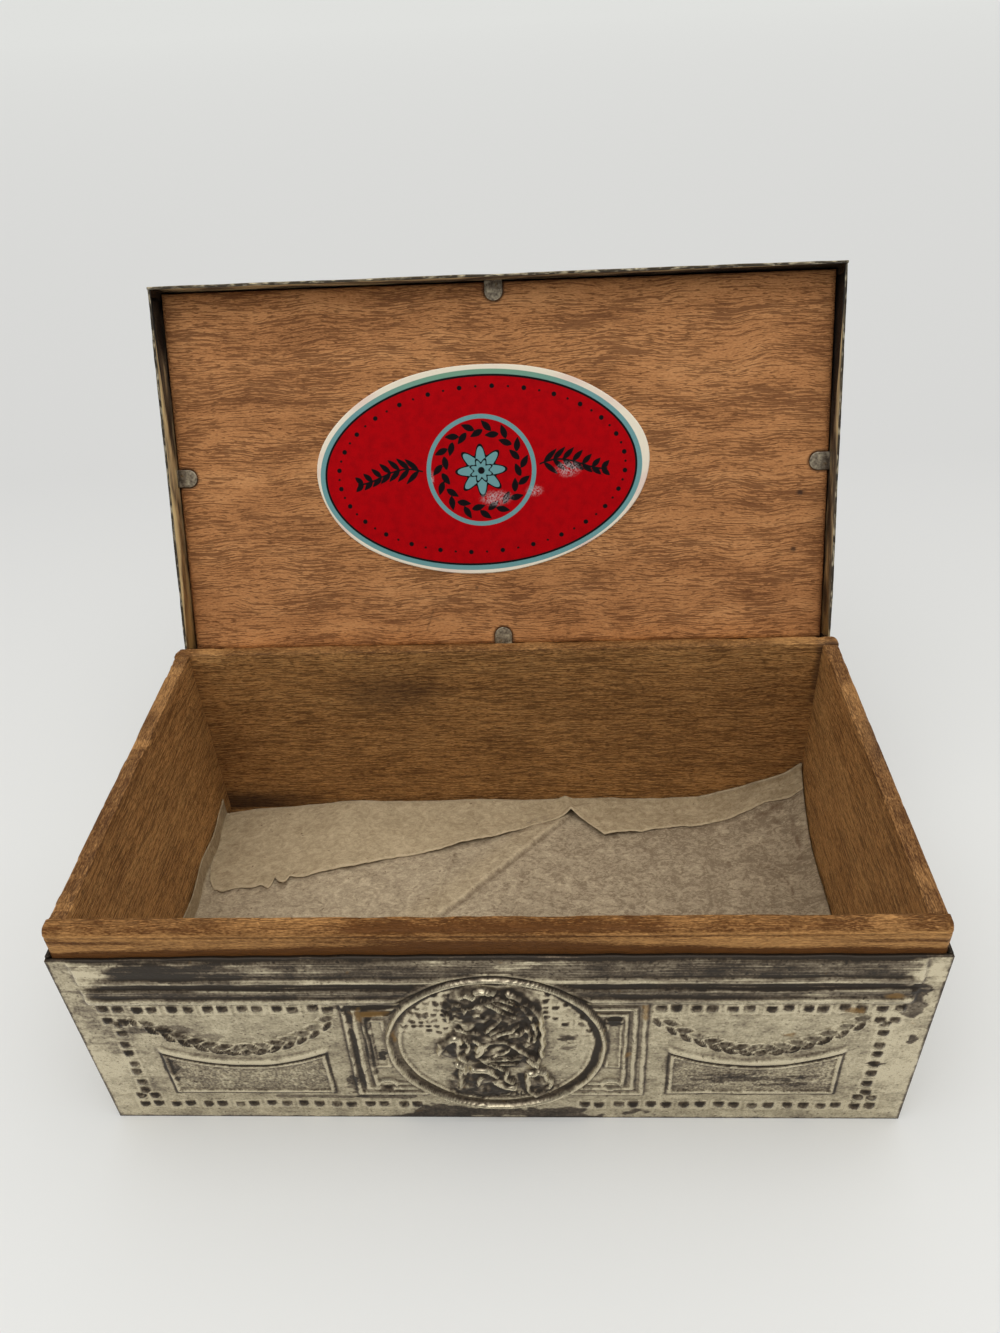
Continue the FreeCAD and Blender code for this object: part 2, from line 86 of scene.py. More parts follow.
def round_top(distance: Array, half: float) -> Array:
    """Half-round section: the height of a unit circle over a strip of the half width given."""
    return np.sqrt(np.clip(1 - (distance / half) ** 2, 0, 1))


def soft_top(distance: Array, half: float) -> Array:
    """Soft ridge: one less the squared share of the half width, to the power of one and a half."""
    return np.clip(1 - (distance / half) ** 2, 0, 1) ** 1.5


def blurred(field: Array, sigma_u: float, sigma_v: float) -> Array:
    """Gaussian blur of a grid, made by damping its waves.

    Args:
        field: Grid of numbers.
        sigma_u: Spread along the first index, in cells.
        sigma_v: Spread along the second index, in cells.

    Returns:
        Grid of the same shape.
    """
    pad = int(3 * max(sigma_u, sigma_v)) + 1
    wide = np.pad(field, pad, mode="edge")
    return damped(wide, sigma_u, sigma_v)[pad:-pad, pad:-pad]


def damped(field: Array, sigma_u: float, sigma_v: float) -> Array:
    """The same blur on a grid whose opposite edges meet."""
    waves_u = np.fft.fftfreq(field.shape[0])[:, None] * sigma_u
    waves_v = np.fft.rfftfreq(field.shape[1])[None, :] * sigma_v
    gain = np.exp(-2 * math.pi ** 2 * (waves_u ** 2 + waves_v ** 2))
    return np.fft.irfft2(np.fft.rfft2(field) * gain, field.shape)


def mottle(shape: tuple[int, int], sigma_u: float, sigma_v: float, seed: int) -> Array:
    """Random blotches of unit spread: white noise, blurred and scaled."""
    field = damped(np.random.default_rng(seed).normal(size=shape), sigma_u, sigma_v)
    return np.clip(field / field.std(), -2.5, 2.5)


def leaf_inside(u: Array, v: Array, root: Point, turn: float, length: float, width: float) -> Array:
    """Distance inside a leaf: its half width, a half sine along the leaf, less the distance from the midrib.

    Args:
        u, v: Places.
        root: Foot of the leaf.
        turn: Direction of the leaf in radians.
        length, width: Size of the leaf.

    Returns:
        Distances, above zero inside the leaf.
    """
    along = (u - root[0]) * math.cos(turn) + (v - root[1]) * math.sin(turn)
    across = (v - root[1]) * math.cos(turn) - (u - root[0]) * math.sin(turn)
    share = np.clip(along / length, 0, 1)
    half = width / 2 * np.sin(math.pi * share ** 0.8)
    outside = np.maximum(np.abs(along - length / 2) - length / 2, 0)
    return half - np.abs(across) - outside


def oval_inside(u: Array, v: Array, half_u: float, half_v: float) -> Array:
    """Distance inside an oval, to first order: one less the scaled radius, over the slope of that radius."""
    radius = np.sqrt((u / half_u) ** 2 + (v / half_v) ** 2) + 1e-9
    slope = np.sqrt((u / half_u ** 2) ** 2 + (v / half_v ** 2) ** 2) / radius + 1e-9
    return (1 - radius) / slope


def level_grid(half: Sequence[float], count_u: int, count_v: int) -> Sequence[Array]:
    """Places u and v on a grid over a rectangle about the origin, from its half sizes."""
    along_u, along_v = np.linspace(-half[0], half[0], count_u), np.linspace(-half[1], half[1], count_v)
    return np.meshgrid(along_u, along_v, indexing="ij")


def oval_reach(u: Array, v: Array, at_u: float, at_v: float, half_u: float, half_v: float) -> Array:
    """Distance from the middle of an oval, as a share of its half widths."""
    return np.hypot((u - at_u) / half_u, (v - at_v) / half_v)


def run_reach(u: Array, v: Array, start: Point, end: Point) -> Array:
    """Distance from a straight run."""
    run_u, run_v = end[0] - start[0], end[1] - start[1]
    share = np.clip(((u - start[0]) * run_u + (v - start[1]) * run_v) / (run_u ** 2 + run_v ** 2), 0, 1)
    return np.hypot(u - start[0] - share * run_u, v - start[1] - share * run_v)


# Places taken from the construction model

@dataclass(frozen=True)
class Span:
    """Lowest and highest corner of a piece in millimetres."""

    low: Array
    high: Array


@dataclass(frozen=True)
class Swing:
    """The lid's hinge, which carries a closed lid's points to where the lid stands open.

    A point turns about the hinge line by the open angle: y and z mix by its cosine and sine.
    """

    axis_y: float
    axis_z: float
    angle: float

    def opened(self, points: Array) -> Array:
        """Points of the closed lid, swung open."""
        return self._turned(points, -self.angle)

    def closed(self, points: Array) -> Array:
        """Points of the open lid, swung shut."""
        return self._turned(points, self.angle)

    def _turned(self, points: Array, angle: float) -> Array:
        """Points turned about the hinge line."""
        y = points[..., 1] - self.axis_y
        z = points[..., 2] - self.axis_z
        turned_y = y * math.cos(angle) - z * math.sin(angle) + self.axis_y
        turned_z = y * math.sin(angle) + z * math.cos(angle) + self.axis_z
        return np.stack([points[..., 0], turned_y, turned_z], -1)


def node_points(name: str) -> Array:
    """Points of a node of the construction model, in millimetres."""
    mesh = frame["nodes"][name].data
    flat = np.empty(len(mesh.vertices) * 3)
    mesh.vertices.foreach_get("co", flat)
    return flat.reshape(-1, 3) / METRES


def node_span(name: str, swing: Optional[Swing] = None) -> Span:
    """Corners of a node, of the closed lid if a swing is given."""
    points = node_points(name) if swing is None else swing.closed(node_points(name))
    return Span(points.min(0), points.max(0))


def lid_swing() -> Swing:
    """Hinge line and open angle, read from the lid's joint."""
    joint = frame["record"]["behaviour"]["joints"][0]
    _, axis_y, axis_z = (length / METRES for length in joint["pos_m"])
    return Swing(axis_y, axis_z, math.radians(joint["range_deg"][1]))


# Meshes

@dataclass
class Surface:
    """Points, faces and per-point values of a piece, in millimetres."""

    points: Array
    quads: Array
    triangles: Array
    values: dict[str, Array]

    def mesh(self, name: str) -> bpy.types.Mesh:
        """Blender mesh of this surface, in metres and shaded smooth."""
        mesh = bpy.data.meshes.new(name)
        corners = np.concatenate([self.quads.ravel(), self.triangles.ravel()]).astype(np.int32)
        sizes = np.concatenate([np.full(len(self.quads), 4), np.full(len(self.triangles), 3)])
        mesh.vertices.add(len(self.points))
        mesh.vertices.foreach_set("co", (self.points * METRES).astype(np.float32).ravel())
        mesh.loops.add(len(corners))
        mesh.loops.foreach_set("vertex_index", corners)
        mesh.polygons.add(len(sizes))
        mesh.polygons.foreach_set("loop_start", np.concatenate([[0], np.cumsum(sizes)[:-1]]).astype(np.int32))
        mesh.polygons.foreach_set("use_smooth", np.ones(len(sizes), bool))
        for label, value in self.values.items():
            vector = value.ndim == 2
            layer = mesh.attributes.new(label, "FLOAT_VECTOR" if vector else "FLOAT", "POINT")
            layer.data.foreach_set("vector" if vector else "value", value.astype(np.float32).ravel())
        mesh.update(calc_edges=True)
        mesh.validate()
        return mesh


def joined(surfaces: Sequence[Surface]) -> Surface:
    """Several surfaces as one."""
    starts = np.cumsum([0] + [len(surface.points) for surface in surfaces])
    quads = np.concatenate([s.quads + start for s, start in zip(surfaces, starts)])
    triangles = np.concatenate([s.triangles + start for s, start in zip(surfaces, starts)])
    values = {key: np.concatenate([s.values[key] for s in surfaces]) for key in surfaces[0].values}
    return Surface(np.concatenate([s.points for s in surfaces]), quads, triangles, values)


def grid_quads(count_u: int, count_v: int) -> Array:
    """Faces of an open grid of points, which face along u cross v."""
    index = np.arange(count_u * count_v).reshape(count_u, count_v)
    corners = (index[:-1, :-1], index[1:, :-1], index[1:, 1:], index[:-1, 1:])
    return np.stack([corner.ravel() for corner in corners], -1)


def slab(front: Array, depth: float, place: Placing, **values: Array) -> Surface:
    """Closed slab under a grid: the grid, a wall round its edge and a flat back that fans from its middle.

    Args:
        front: Grid of local points (u, v, w) with w outwards.
        depth: Level w of the back.
        place: Carries local points to the part.
        values: Per-point values on the grid, which the back repeats from the edge.

    Returns:
        The slab, with its local points as the value "place".
    """
    count_u, count_v = front.shape[:2]
    index = np.arange(count_u * count_v).reshape(count_u, count_v)
    ring = np.concatenate([index[:-1, 0], index[-1, :-1], index[:0:-1, -1], index[0, :0:-1]])
    local = front.reshape(-1, 3)
    back = local[ring].copy()
    back[:, 2] = depth
    middle = back.mean(0, keepdims=True)
    points = np.concatenate([local, back, middle])
    low = len(local) + np.arange(len(ring))
    after = np.roll(low, -1)
    walls = np.stack([low, after, np.roll(ring, -1), ring], -1)
    fan = np.stack([after, low, np.full(len(ring), len(points) - 1)], -1)
    spread = {}
    for label, value in values.items():
        flat = value.reshape(-1)
        spread[label] = np.concatenate([flat, flat[ring], [flat[ring].mean()]])
    quads = np.concatenate([grid_quads(count_u, count_v), walls])
    return Surface(place(points), quads, fan, {"place": points, **spread})


def tube(rings: Array, place: Placing, **values: Array) -> Surface:
    """Closed rod through rings of points, with a fan over each end.

    Args:
        rings: Local points, one ring for each first index, turning so that the faces look outwards.
        place: Carries local points to the part.
        values: Per-point values on the rings.

    Returns:
        The rod, with its local points as the value "place".
    """
    count, around = rings.shape[:2]
    index = np.arange(count * around).reshape(count, around)
    nearer, further = index[:-1], index[1:]
    quads = np.stack([nearer, further, np.roll(further, -1, 1), np.roll(nearer, -1, 1)], -1).reshape(-1, 4)
    ends = rings[[0, -1]].mean(1)
    points = np.concatenate([rings.reshape(-1, 3), ends])
    first, last = index[0], index[-1]
    start = np.stack([first, np.roll(first, -1), np.full(around, len(points) - 2)], -1)
    end = np.stack([np.roll(last, -1), last, np.full(around, len(points) - 1)], -1)
    spread = {key: np.concatenate([value.ravel(), value[[0, -1]].mean(1)]) for key, value in values.items()}
    return Surface(place(points), quads, np.concatenate([start, end]), {"place": points, **spread})


def add_piece(name: str, surface: Surface, finish: "Finish", body: str, slot: str,
              *nodes: str) -> bpy.types.Object:
    """Puts a surface into the scene as a piece that rides on a body and stands for nodes.

    Args:
        name: Name of the piece.
        surface: Its shape.
        finish: What it is dressed in.
        body: The body that carries it.
        slot: The record's material slot; not used.
        nodes: Nodes of the construction model that it stands for.

    Returns:
        The new object.
    """
    piece = bpy.data.objects.new(name, surface.mesh(name))
    bpy.context.scene.collection.objects.link(piece)
    piece.data.materials.append(finish.material())
    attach(piece, body)
    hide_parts(*nodes)
    LOG.info("%s: %d points on %s", name, len(surface.points), body)
    return piece


# Finishes

class Graph:
    """Shader nodes of one material, laid one after another."""

    def __init__(self, name: str) -> None:
        """Starts an empty material with one surface shader."""
        self.material = bpy.data.materials.new(name)
        self.material.use_nodes = True
        self.tree = self.material.node_tree
        self.tree.nodes.clear()
        self.shader = self.tree.nodes.new("ShaderNodeBsdfPrincipled")
        output = self.tree.nodes.new("ShaderNodeOutputMaterial")
        self.tree.links.new(self.shader.outputs[0], output.inputs[0])

    def feed(self, socket: Node, value: Socket) -> None:
        """Links a socket, or sets its number."""
        if isinstance(value, Node):
            self.tree.links.new(value, socket)
        else:
            socket.default_value = value

    def surface(self, **sockets: Socket) -> None:
        """Feeds the surface shader's sockets, named in words joined by underscores."""
        for label, value in sockets.items():
            self.feed(self.shader.inputs[label.replace("_", " ").title().replace("Ior", "IOR")], value)

    def fed(self, kind: str, *values: Socket) -> bpy.types.Node:
        """A new node, whose first inputs are fed in order."""
        node = self.tree.nodes.new(kind)
        for socket, value in zip(node.inputs, values):
            self.feed(socket, value)
        return node

    def attribute(self, name: str, output: str = "Fac") -> Node:
        """A piece's own per-point number, or its vector."""
        node = self.tree.nodes.new("ShaderNodeAttribute")
        node.attribute_name = name
        return node.outputs[output]

    def local(self) -> Node:
        """A piece's own local place in millimetres."""
        return self.attribute("place", "Vector")

    def objects(self) -> Node:
        """Place in the part, scaled to millimetres."""
        node = self.tree.nodes.new("ShaderNodeTexCoord")
        return self.scaled(node.outputs["Object"], (1 / METRES,) * 3)

    def scaled(self, vector: Socket, scale: Sequence[float], shift: Sequence[float] = ORIGIN) -> Node:
        """A place, scaled along each axis and then shifted."""
        node = self.tree.nodes.new("ShaderNodeMapping")
        self.feed(node.inputs["Vector"], vector)
        node.inputs["Scale"].default_value = scale
        node.inputs["Location"].default_value = shift
        return node.outputs[0]

    def joined(self, *numbers: Socket) -> Node:
        """A place from its three numbers."""
        return self.fed("ShaderNodeCombineXYZ", *numbers).outputs[0]

    def parts(self, vector: Socket) -> Sequence[Node]:
        """The three numbers of a place."""
        return self.fed("ShaderNodeSeparateXYZ", vector).outputs

    def noise(self, vector: Socket, scale: float, detail: float, bend: float = 0) -> Node:
        """Cloudy number from 0 to 1, about its mean."""
        node = self.tree.nodes.new("ShaderNodeTexNoise")
        self.feed(node.inputs["Vector"], vector)
        node.inputs["Scale"].default_value = scale
        node.inputs["Detail"].default_value = detail
        node.inputs["Distortion"].default_value = bend
        return node.outputs["Fac"]

    def cloud(self, vector: Socket, stretch: Sequence[float], detail: float, shift: Sequence[float] = ORIGIN,
              bend: float = 0, scale: float = 1) -> Node:
        """Noise of a place that is first scaled along each axis and shifted."""
        return self.noise(self.scaled(vector, stretch, shift), scale, detail, bend)

    def math(self, operation: str, first: Socket, second: Socket = 0.0, third: Socket = 0.0) -> Node:
        """One sum on numbers."""
        node = self.tree.nodes.new("ShaderNodeMath")
        node.operation = operation
        for socket, value in zip(node.inputs, (first, second, third)):
            self.feed(socket, value)
        return node.outputs[0]

    def total(self, start: Socket, *terms: tuple[Socket, Socket]) -> Node:
        """A start with terms added to it, each a number and its weight."""
        for value, weight in terms:
            start = self.math("MULTIPLY_ADD", value, weight, start)
        return start

    def about(self, cloudy: Socket) -> Node:
        """A cloudy number less its mean."""
        return self.math("SUBTRACT", cloudy, NOISE_MEAN)

    def fade(self, value: Socket, low: float, high: float, start: float = 0, end: float = 1) -> Node:
        """Straight run from start at low to end at high, held outside that."""
        return self.fed("ShaderNodeMapRange", value, low, high, start, end).outputs[0]

    def mix(self, share: Socket, first: Socket, second: Socket) -> Node:
        """Colour between two colours."""
        node = self.tree.nodes.new("ShaderNodeMix")
        node.data_type = "RGBA"
        for socket, value in ((node.inputs[0], share), (node.inputs[6], first), (node.inputs[7], second)):
            self.feed(socket, value)
        return node.outputs[2]

    def shades(self, value: Socket, *stops: tuple[float, Sequence[float]]) -> Node:
        """Colour that runs through stops as a number goes from 0 to 1; the outermost two come first."""
        node = self.fed("ShaderNodeValToRGB", value)
        for index, (at, colour) in enumerate(stops):
            stop = node.color_ramp.elements[index] if index < 2 else node.color_ramp.elements.new(at)
            stop.position = at
            stop.color = colour
        return node.outputs[0]

    def relief(self, height: Socket, depth: float) -> None:
        """Gives the surface a fine relief whose full height is a depth in millimetres."""
        node = self.tree.nodes.new("ShaderNodeBump")
        node.inputs["Distance"].default_value = depth * METRES
        self.feed(node.inputs["Height"], height)
        self.feed(self.shader.inputs["Normal"], node.outputs[0])


def shade(red: float, green: float, blue: float) -> tuple[float, float, float, float]:
    """Linear colour of a screen colour from 0 to 255."""
    linear = [((part / 255 + 0.055) / 1.055) ** 2.4 for part in (red, green, blue)]
    return (*linear, 1.0)


class Finish:
    """A material that is laid once and shared by every piece that asks for it."""

    name = "finish"

    def material(self) -> bpy.types.Material:
        """The laid material."""
        found = bpy.data.materials.get(self.name)
        if found is None:
            graph = Graph(self.name)
            self.lay(graph)
            found = graph.material
        return found

    def lay(self, graph: Graph) -> None:
        """Lays the nodes of this finish."""
        raise NotImplementedError


@dataclass(frozen=True)
class PlatedFinish(Finish):
    """Worn silver plate: creamy metal, darkened and lightened by the piece's patina, stains, painted shade
    and painted highlights; streaks, pits and brassy spots.
    """

    name: str = "worn_silver_plate"
    bright: tuple = shade(214, 202, 173)
    silver: tuple = shade(187, 175, 148)
    dull: tuple = shade(138, 126, 107)
    tarnish: tuple = shade(88, 76, 62)
    black: tuple = shade(52, 44, 35)
    brass: tuple = shade(138, 104, 54)
    metal: float = 1.0
    cleanness: float = -0.61

    def lay(self, graph: Graph) -> None:
        """Darkness adds the piece's own patina, stains, painted shade and painted highlights, blotches,
        smears, grit, pits and long streaks.
        """
        place = graph.local()
        smears = graph.cloud(place, (0.22, 0.5, 0.5), 2, (3, 8, 1))
        blotches = graph.noise(place, 0.15, 3)
        mottles = graph.cloud(place, (0.9, 0.9, 0.9), 2, (5, 1, 9))
        grit = graph.noise(place, 2.0, 4)
        gritty = graph.total(0.65, (graph.attribute("stipple"), 0.7))
        pits = graph.fade(graph.cloud(place, (1.2, 1.5, 1.5), 3, (8, 3, 2)), 0.6, 0.68)
        streaks = graph.fade(graph.cloud(place, (0.06, 2.2, 2.2), 4), 0.33, 0.52, -0.36, 0.06)
        dark = graph.total(
            self.cleanness, (smears, 0.55), (blotches, 0.65), (mottles, 0.4),
            (graph.attribute("tarnish"), 1.0), (graph.about(grit), gritty), (pits, 0.3),
            (graph.attribute("streak"), streaks))
        colour = graph.shades(dark, (0.0, self.bright), (1.0, self.black), (0.2, self.silver),
                              (0.46, self.dull), (0.76, self.tarnish))
        spots = graph.fade(graph.cloud(place, (1, 1, 1), 3, (40, 7, 0), scale=0.35), 0.7, 0.78)
        ochre = graph.math("MAXIMUM", graph.math("MULTIPLY", spots, 0.5), graph.attribute("ochre"))
        colour = graph.mix(ochre, colour, self.brass)
        graph.surface(base_color=colour, metallic=graph.fade(dark, 0.4, 1.1, self.metal, self.metal * 0.6),
                      roughness=graph.fade(graph.total(dark, (grit, 0.35)), 0, 1.2, 0.22, 0.5))
        graph.relief(graph.total(mottles, (grit, 0.12)), 0.08)


@dataclass(frozen=True)
class TrayFinish(Finish):
    """Lid's tray: plate outside, olive and brown oxide inside, and a dark rim with bright worn specks."""

    name: str = "oxidised_tray_plate"
    silver: tuple = shade(192, 180, 150)
    olive: tuple = shade(240, 214, 154)
    brown: tuple = shade(196, 170, 124)
    tarnish: tuple = shade(96, 82, 64)
    rim: tuple = shade(62, 54, 42)
    pitch: tuple = shade(18, 15, 13)
    cleanness: float = -1.15

    def lay(self, graph: Graph) -> None:
        """Inside is where w lies below the outer face, and the rim is the lowest strip of v."""
        place = graph.local()
        _, height, depth = graph.parts(place)
        inner = graph.fade(depth, -0.25, -0.45)
        grit = graph.noise(place, 2.6, 4)
        blotches = graph.cloud(place, (0.09, 0.35, 0.3), 5)
        inside = graph.shades(graph.math("SUBTRACT", blotches, graph.attribute("pitch")),
                              (0.1, self.pitch), (0.6, self.olive), (0.46, self.brown), (0.3, self.tarnish))
        # Outside, the piece's patina and the painted shade on its raised lines darken the plate.
        dark = graph.total(self.cleanness, (grit, 0.9), (graph.attribute("tarnish"), 1.0),
                           (graph.noise(place, 0.22, 4), 1.4))
        outside = graph.shades(dark, (0.1, self.silver), (0.85, self.tarnish))
        worn = graph.cloud(place, (0.5, 1.5, 1.5), 4, (4, 1, 2))
        rim = graph.shades(worn, (0.5, self.rim), (0.7, self.silver))
        colour = graph.mix(graph.fade(height, 0.35, 0.1), graph.mix(inner, outside, inside), rim)
        graph.surface(base_color=colour, metallic=graph.fade(inner, 0, 1, 0.95, 0.1),
                      roughness=graph.fade(grit, 0.3, 0.7, 0.36, 0.58))
        graph.relief(grit, 0.06)


@dataclass(frozen=True)
class WoodFinish(Finish):
    """Open-pored golden brown wood, whose short fine pores follow a swaying grain."""

    name: str = "pored_panel_wood"
    light: tuple = shade(215, 157, 103)
    middle: tuple = shade(186, 128, 79)
    dark: tuple = shade(118, 74, 42)
    pore: tuple = shade(92, 52, 28)
    grime: tuple = shade(50, 36, 31)
    figure: float = 0.44
    sway: float = 5.0
    pore_share: float = 0.66
    polished_share: float = 0.12
    fineness: float = 1.12
    crowding: float = 0.5
    density: float = 0.0
    mean_tone: float = 0.56

    def lay(self, graph: Graph) -> None:
        """Grain runs along u and is swayed by slow noise; steep steps of fine noise make the pores."""
        place = graph.local()
        u, v, w = graph.parts(place)
        drift = graph.cloud(place, (0.045, 0.06, 0.06), 2)
        grain = graph.joined(u, graph.total(v, (drift, self.sway)), w)
        bands = graph.cloud(grain, (0.014, 0.24, 0.24), 4)
        clouds = graph.cloud(grain, (0.05, 0.1, 0.1), 4, (7, 2, 3), 0.8)
        fibres = graph.cloud(grain, (0.25, 4.2, 4.2), 3)
        specks = graph.cloud(grain, (1.4, 5.0, 5.0), 2, (1, 8, 6))
        lines = graph.cloud(grain, (0.13, 3.3, 3.3), 1, (9, 4, 2), scale=self.fineness)
        dashes = graph.cloud(grain, (0.42, 3.6, 3.6), 1, (2, 5, 8), scale=self.fineness)
        crowd = graph.cloud(grain, (0.06, 0.16, 0.16), 3, (3, 30, 5))
        # Dirt and painted shade that the piece carries darken the tone.
        tone = graph.total(
            self.mean_tone, (graph.about(bands), self.figure), (graph.about(clouds), self.figure),
            (graph.about(fibres), 0.5), (graph.about(specks), 0.6), (graph.attribute("soil"), -0.55))
        colour = graph.shades(tone, (0.2, self.dark), (0.84, self.light), (0.54, self.middle))
        thick = graph.total(self.density - NOISE_MEAN * self.crowding, (graph.attribute("dense"), 0.1),
                            (crowd, self.crowding))
        holes = graph.fade(graph.math("ADD", lines, thick), 0.572, 0.622)
        holes = graph.math("MAXIMUM", holes, graph.fade(graph.total(dashes, (thick, 0.6)), 0.592, 0.637))
        shown = graph.fade(graph.attribute("polish"), 0, 1, self.pore_share, self.polished_share)
        colour = graph.mix(graph.math("MULTIPLY", holes, shown), colour, self.pore)
        # Stains and painted shadows that the piece carries turn the wood a dark brown.
        colour = graph.mix(graph.attribute("stain"), colour, self.grime)
        graph.surface(base_color=colour, roughness=graph.fade(fibres, 0.3, 0.7, 0.5, 0.72),
                      specular_ior_level=0.14)
        graph.relief(graph.total(graph.math("MULTIPLY", specks, 0.8), (holes, -0.8)), 0.1)


@dataclass(frozen=True)
class TissueFinish(Finish):
    """Thin yellowed tissue with cloudy, matted fibres and dark specks."""

    name: str = "old_tissue"
    pale: tuple = shade(204, 186, 154)
    grey: tuple = shade(130, 113, 90)
    warm: tuple = shade(180, 157, 114)
    fleck: tuple = shade(100, 78, 56)
    brown: tuple = shade(86, 60, 40)
    mean_tone: float = 0.5

    def lay(self, graph: Graph) -> None:
        """Fibres and clouds vary the paper, which is painted darker to the right as painted shade and is
        warmer where it is double.
        """
        place = graph.local()
        fibres = graph.cloud(place, (0.4, 0.55, 1), 5, bend=1.5)
        matted = graph.cloud(place, (1.5, 1.9, 1), 5, (6, 2, 4), 1.0)
        threads = graph.cloud(place, (0.7, 3.2, 1), 4, (3, 1, 7), 3.0)
        clouds = graph.noise(place, 0.16, 5)
        # Where the paper is double it is a little lighter and warmer; the turned-up strip counts as double, a
        # painted light.
        layer = graph.attribute("layer")
        # Darker towards the right: painted shade.
        dull = graph.fade(graph.parts(place)[0], -30, 40, 0, 0.2)
        tone = graph.total(
            self.mean_tone, (graph.about(fibres), 1.0), (graph.about(matted), 0.7),
            (graph.about(threads), 0.9), (graph.about(clouds), 0.4), (dull, -1.0), (layer, 0.04),
            (graph.attribute("lit"), 0.34))
        colour = graph.shades(tone, (0.15, self.grey), (0.85, self.pale))
        colour = graph.mix(graph.math("MULTIPLY", layer, 0.3), colour, self.warm)
        flecks = graph.fade(graph.cloud(place, (1, 1, 1), 2, (5, 9, 3), scale=0.9), 0.71, 0.76)
        colour = graph.mix(graph.math("MULTIPLY", flecks, 0.7), colour, self.fleck)
        # Specks, and the painted shade in creases and under the flap's edge, turn brown.
        colour = graph.mix(graph.attribute("stain"), colour, self.brown)
        graph.surface(base_color=colour, roughness=0.88, specular_ior_level=0.2)
        graph.relief(graph.math("ADD", fibres, threads), 0.12)


@dataclass(frozen=True)
class LabelFinish(Finish):
    """Printed paper: rings and motifs are cut from the distances that the label carries."""

    name: str = "printed_label"
    paper: tuple = shade(244, 234, 212)
    blush: tuple = shade(220, 150, 160)
    teal: tuple = shade(112, 160, 162)
    green: tuple = shade(120, 164, 138)
    red: tuple = shade(182, 0, 12)
    deep_red: tuple = shade(162, 0, 12)
    ink: tuple = shade(22, 18, 20)
    bare: tuple = shade(196, 176, 176)
    soft_edge: float = 0.06

    def lay(self, graph: Graph) -> None:
        """Each print covers where its distance is above zero, with a thin soft edge."""
        place = graph.local()
        smudge = graph.noise(place, 0.5, 5)
        fine = graph.noise(place, 3.0, 3)
        pink = graph.fade(graph.cloud(place, (0.06, 0.1, 1), 3, (2, 6, 0)), 0.52, 0.66)
        colour = graph.mix(graph.math("MULTIPLY", pink, 0.28), self.paper, self.blush)
        ring = graph.mix(graph.fade(graph.parts(place)[1], 15, 22), self.teal, self.green)
        field = graph.mix(graph.fade(smudge, 0.4, 0.75), self.red, self.deep_red)
        prints = {"teal_ring": ring, "ink_ring": self.ink, "red_field": field, "teal_print": self.teal,
                  "ink_print": self.ink}
        for name, tone in prints.items():
            covered = graph.fade(graph.attribute(name), -self.soft_edge, self.soft_edge)
            colour = graph.mix(covered, colour, tone)
        worn = graph.math("MULTIPLY", graph.attribute("scuff"), graph.fade(fine, 0.4, 0.62))
        colour = graph.mix(worn, colour, self.bare)
        graph.surface(base_color=colour, roughness=graph.fade(smudge, 0.3, 0.7, 0.5, 0.65),
                      specular_ior_level=0.04)
        graph.relief(graph.total(smudge, (fine, 0.4)), 0.05)


@dataclass(frozen=True)
class PitchFinish(Finish):
    """Black, half-shiny soldering residue."""

    name: str = "corner_pitch"
    black: tuple = shade(18, 14, 12)
    brown: tuple = shade(74, 60, 46)

    def lay(self, graph: Graph) -> None:
        """Near black with brown blotches."""
        blotches = graph.noise(graph.local(), 0.9, 5)
        colour = graph.shades(blotches, (0.35, self.black), (0.75, self.brown))
        graph.surface(base_color=colour, metallic=0.3, roughness=graph.fade(blotches, 0.3, 0.7, 0.35, 0.6))
        graph.relief(blotches, 0.15)


class MetalTone(Enum):
    """Tones of the metal pieces that keep their construction shape: name, clean and tarnished colour."""

    HINGE = ("dull_hinge_plate", (150, 138, 112), (70, 62, 50))
    STEEL = ("old_brad_wire", (160, 158, 152), (86, 74, 62))
    BASE = ("dull_base_plate", (186, 174, 146), (88, 78, 66))


@dataclass(frozen=True)
class PlainMetalFinish(Finish):
    """Dull metal with brown blotches and fine scratches, laid in the part's own place."""

    tone: MetalTone

    @property
    def name(self) -> str:
        """Name of the tone."""
        return self.tone.value[0]

    def lay(self, graph: Graph) -> None:
        """Blotches run between the tone's clean and its tarnished colour."""
        _, clean, tarnished = self.tone.value
        place = graph.objects()
        scratches = graph.cloud(place, (0.15, 2.5, 2.5), 4)
        dark = graph.total(-0.2, (graph.noise(place, 0.3, 6), 0.9), (scratches, 0.4))
        colour = graph.shades(dark, (0.3, shade(*clean)), (0.7, shade(*tarnished)))
        graph.surface(base_color=colour, metallic=0.95, roughness=graph.fade(dark, 0.3, 0.7, 0.32, 0.55))
        graph.relief(scratches, 0.03)


# Embossed sheet

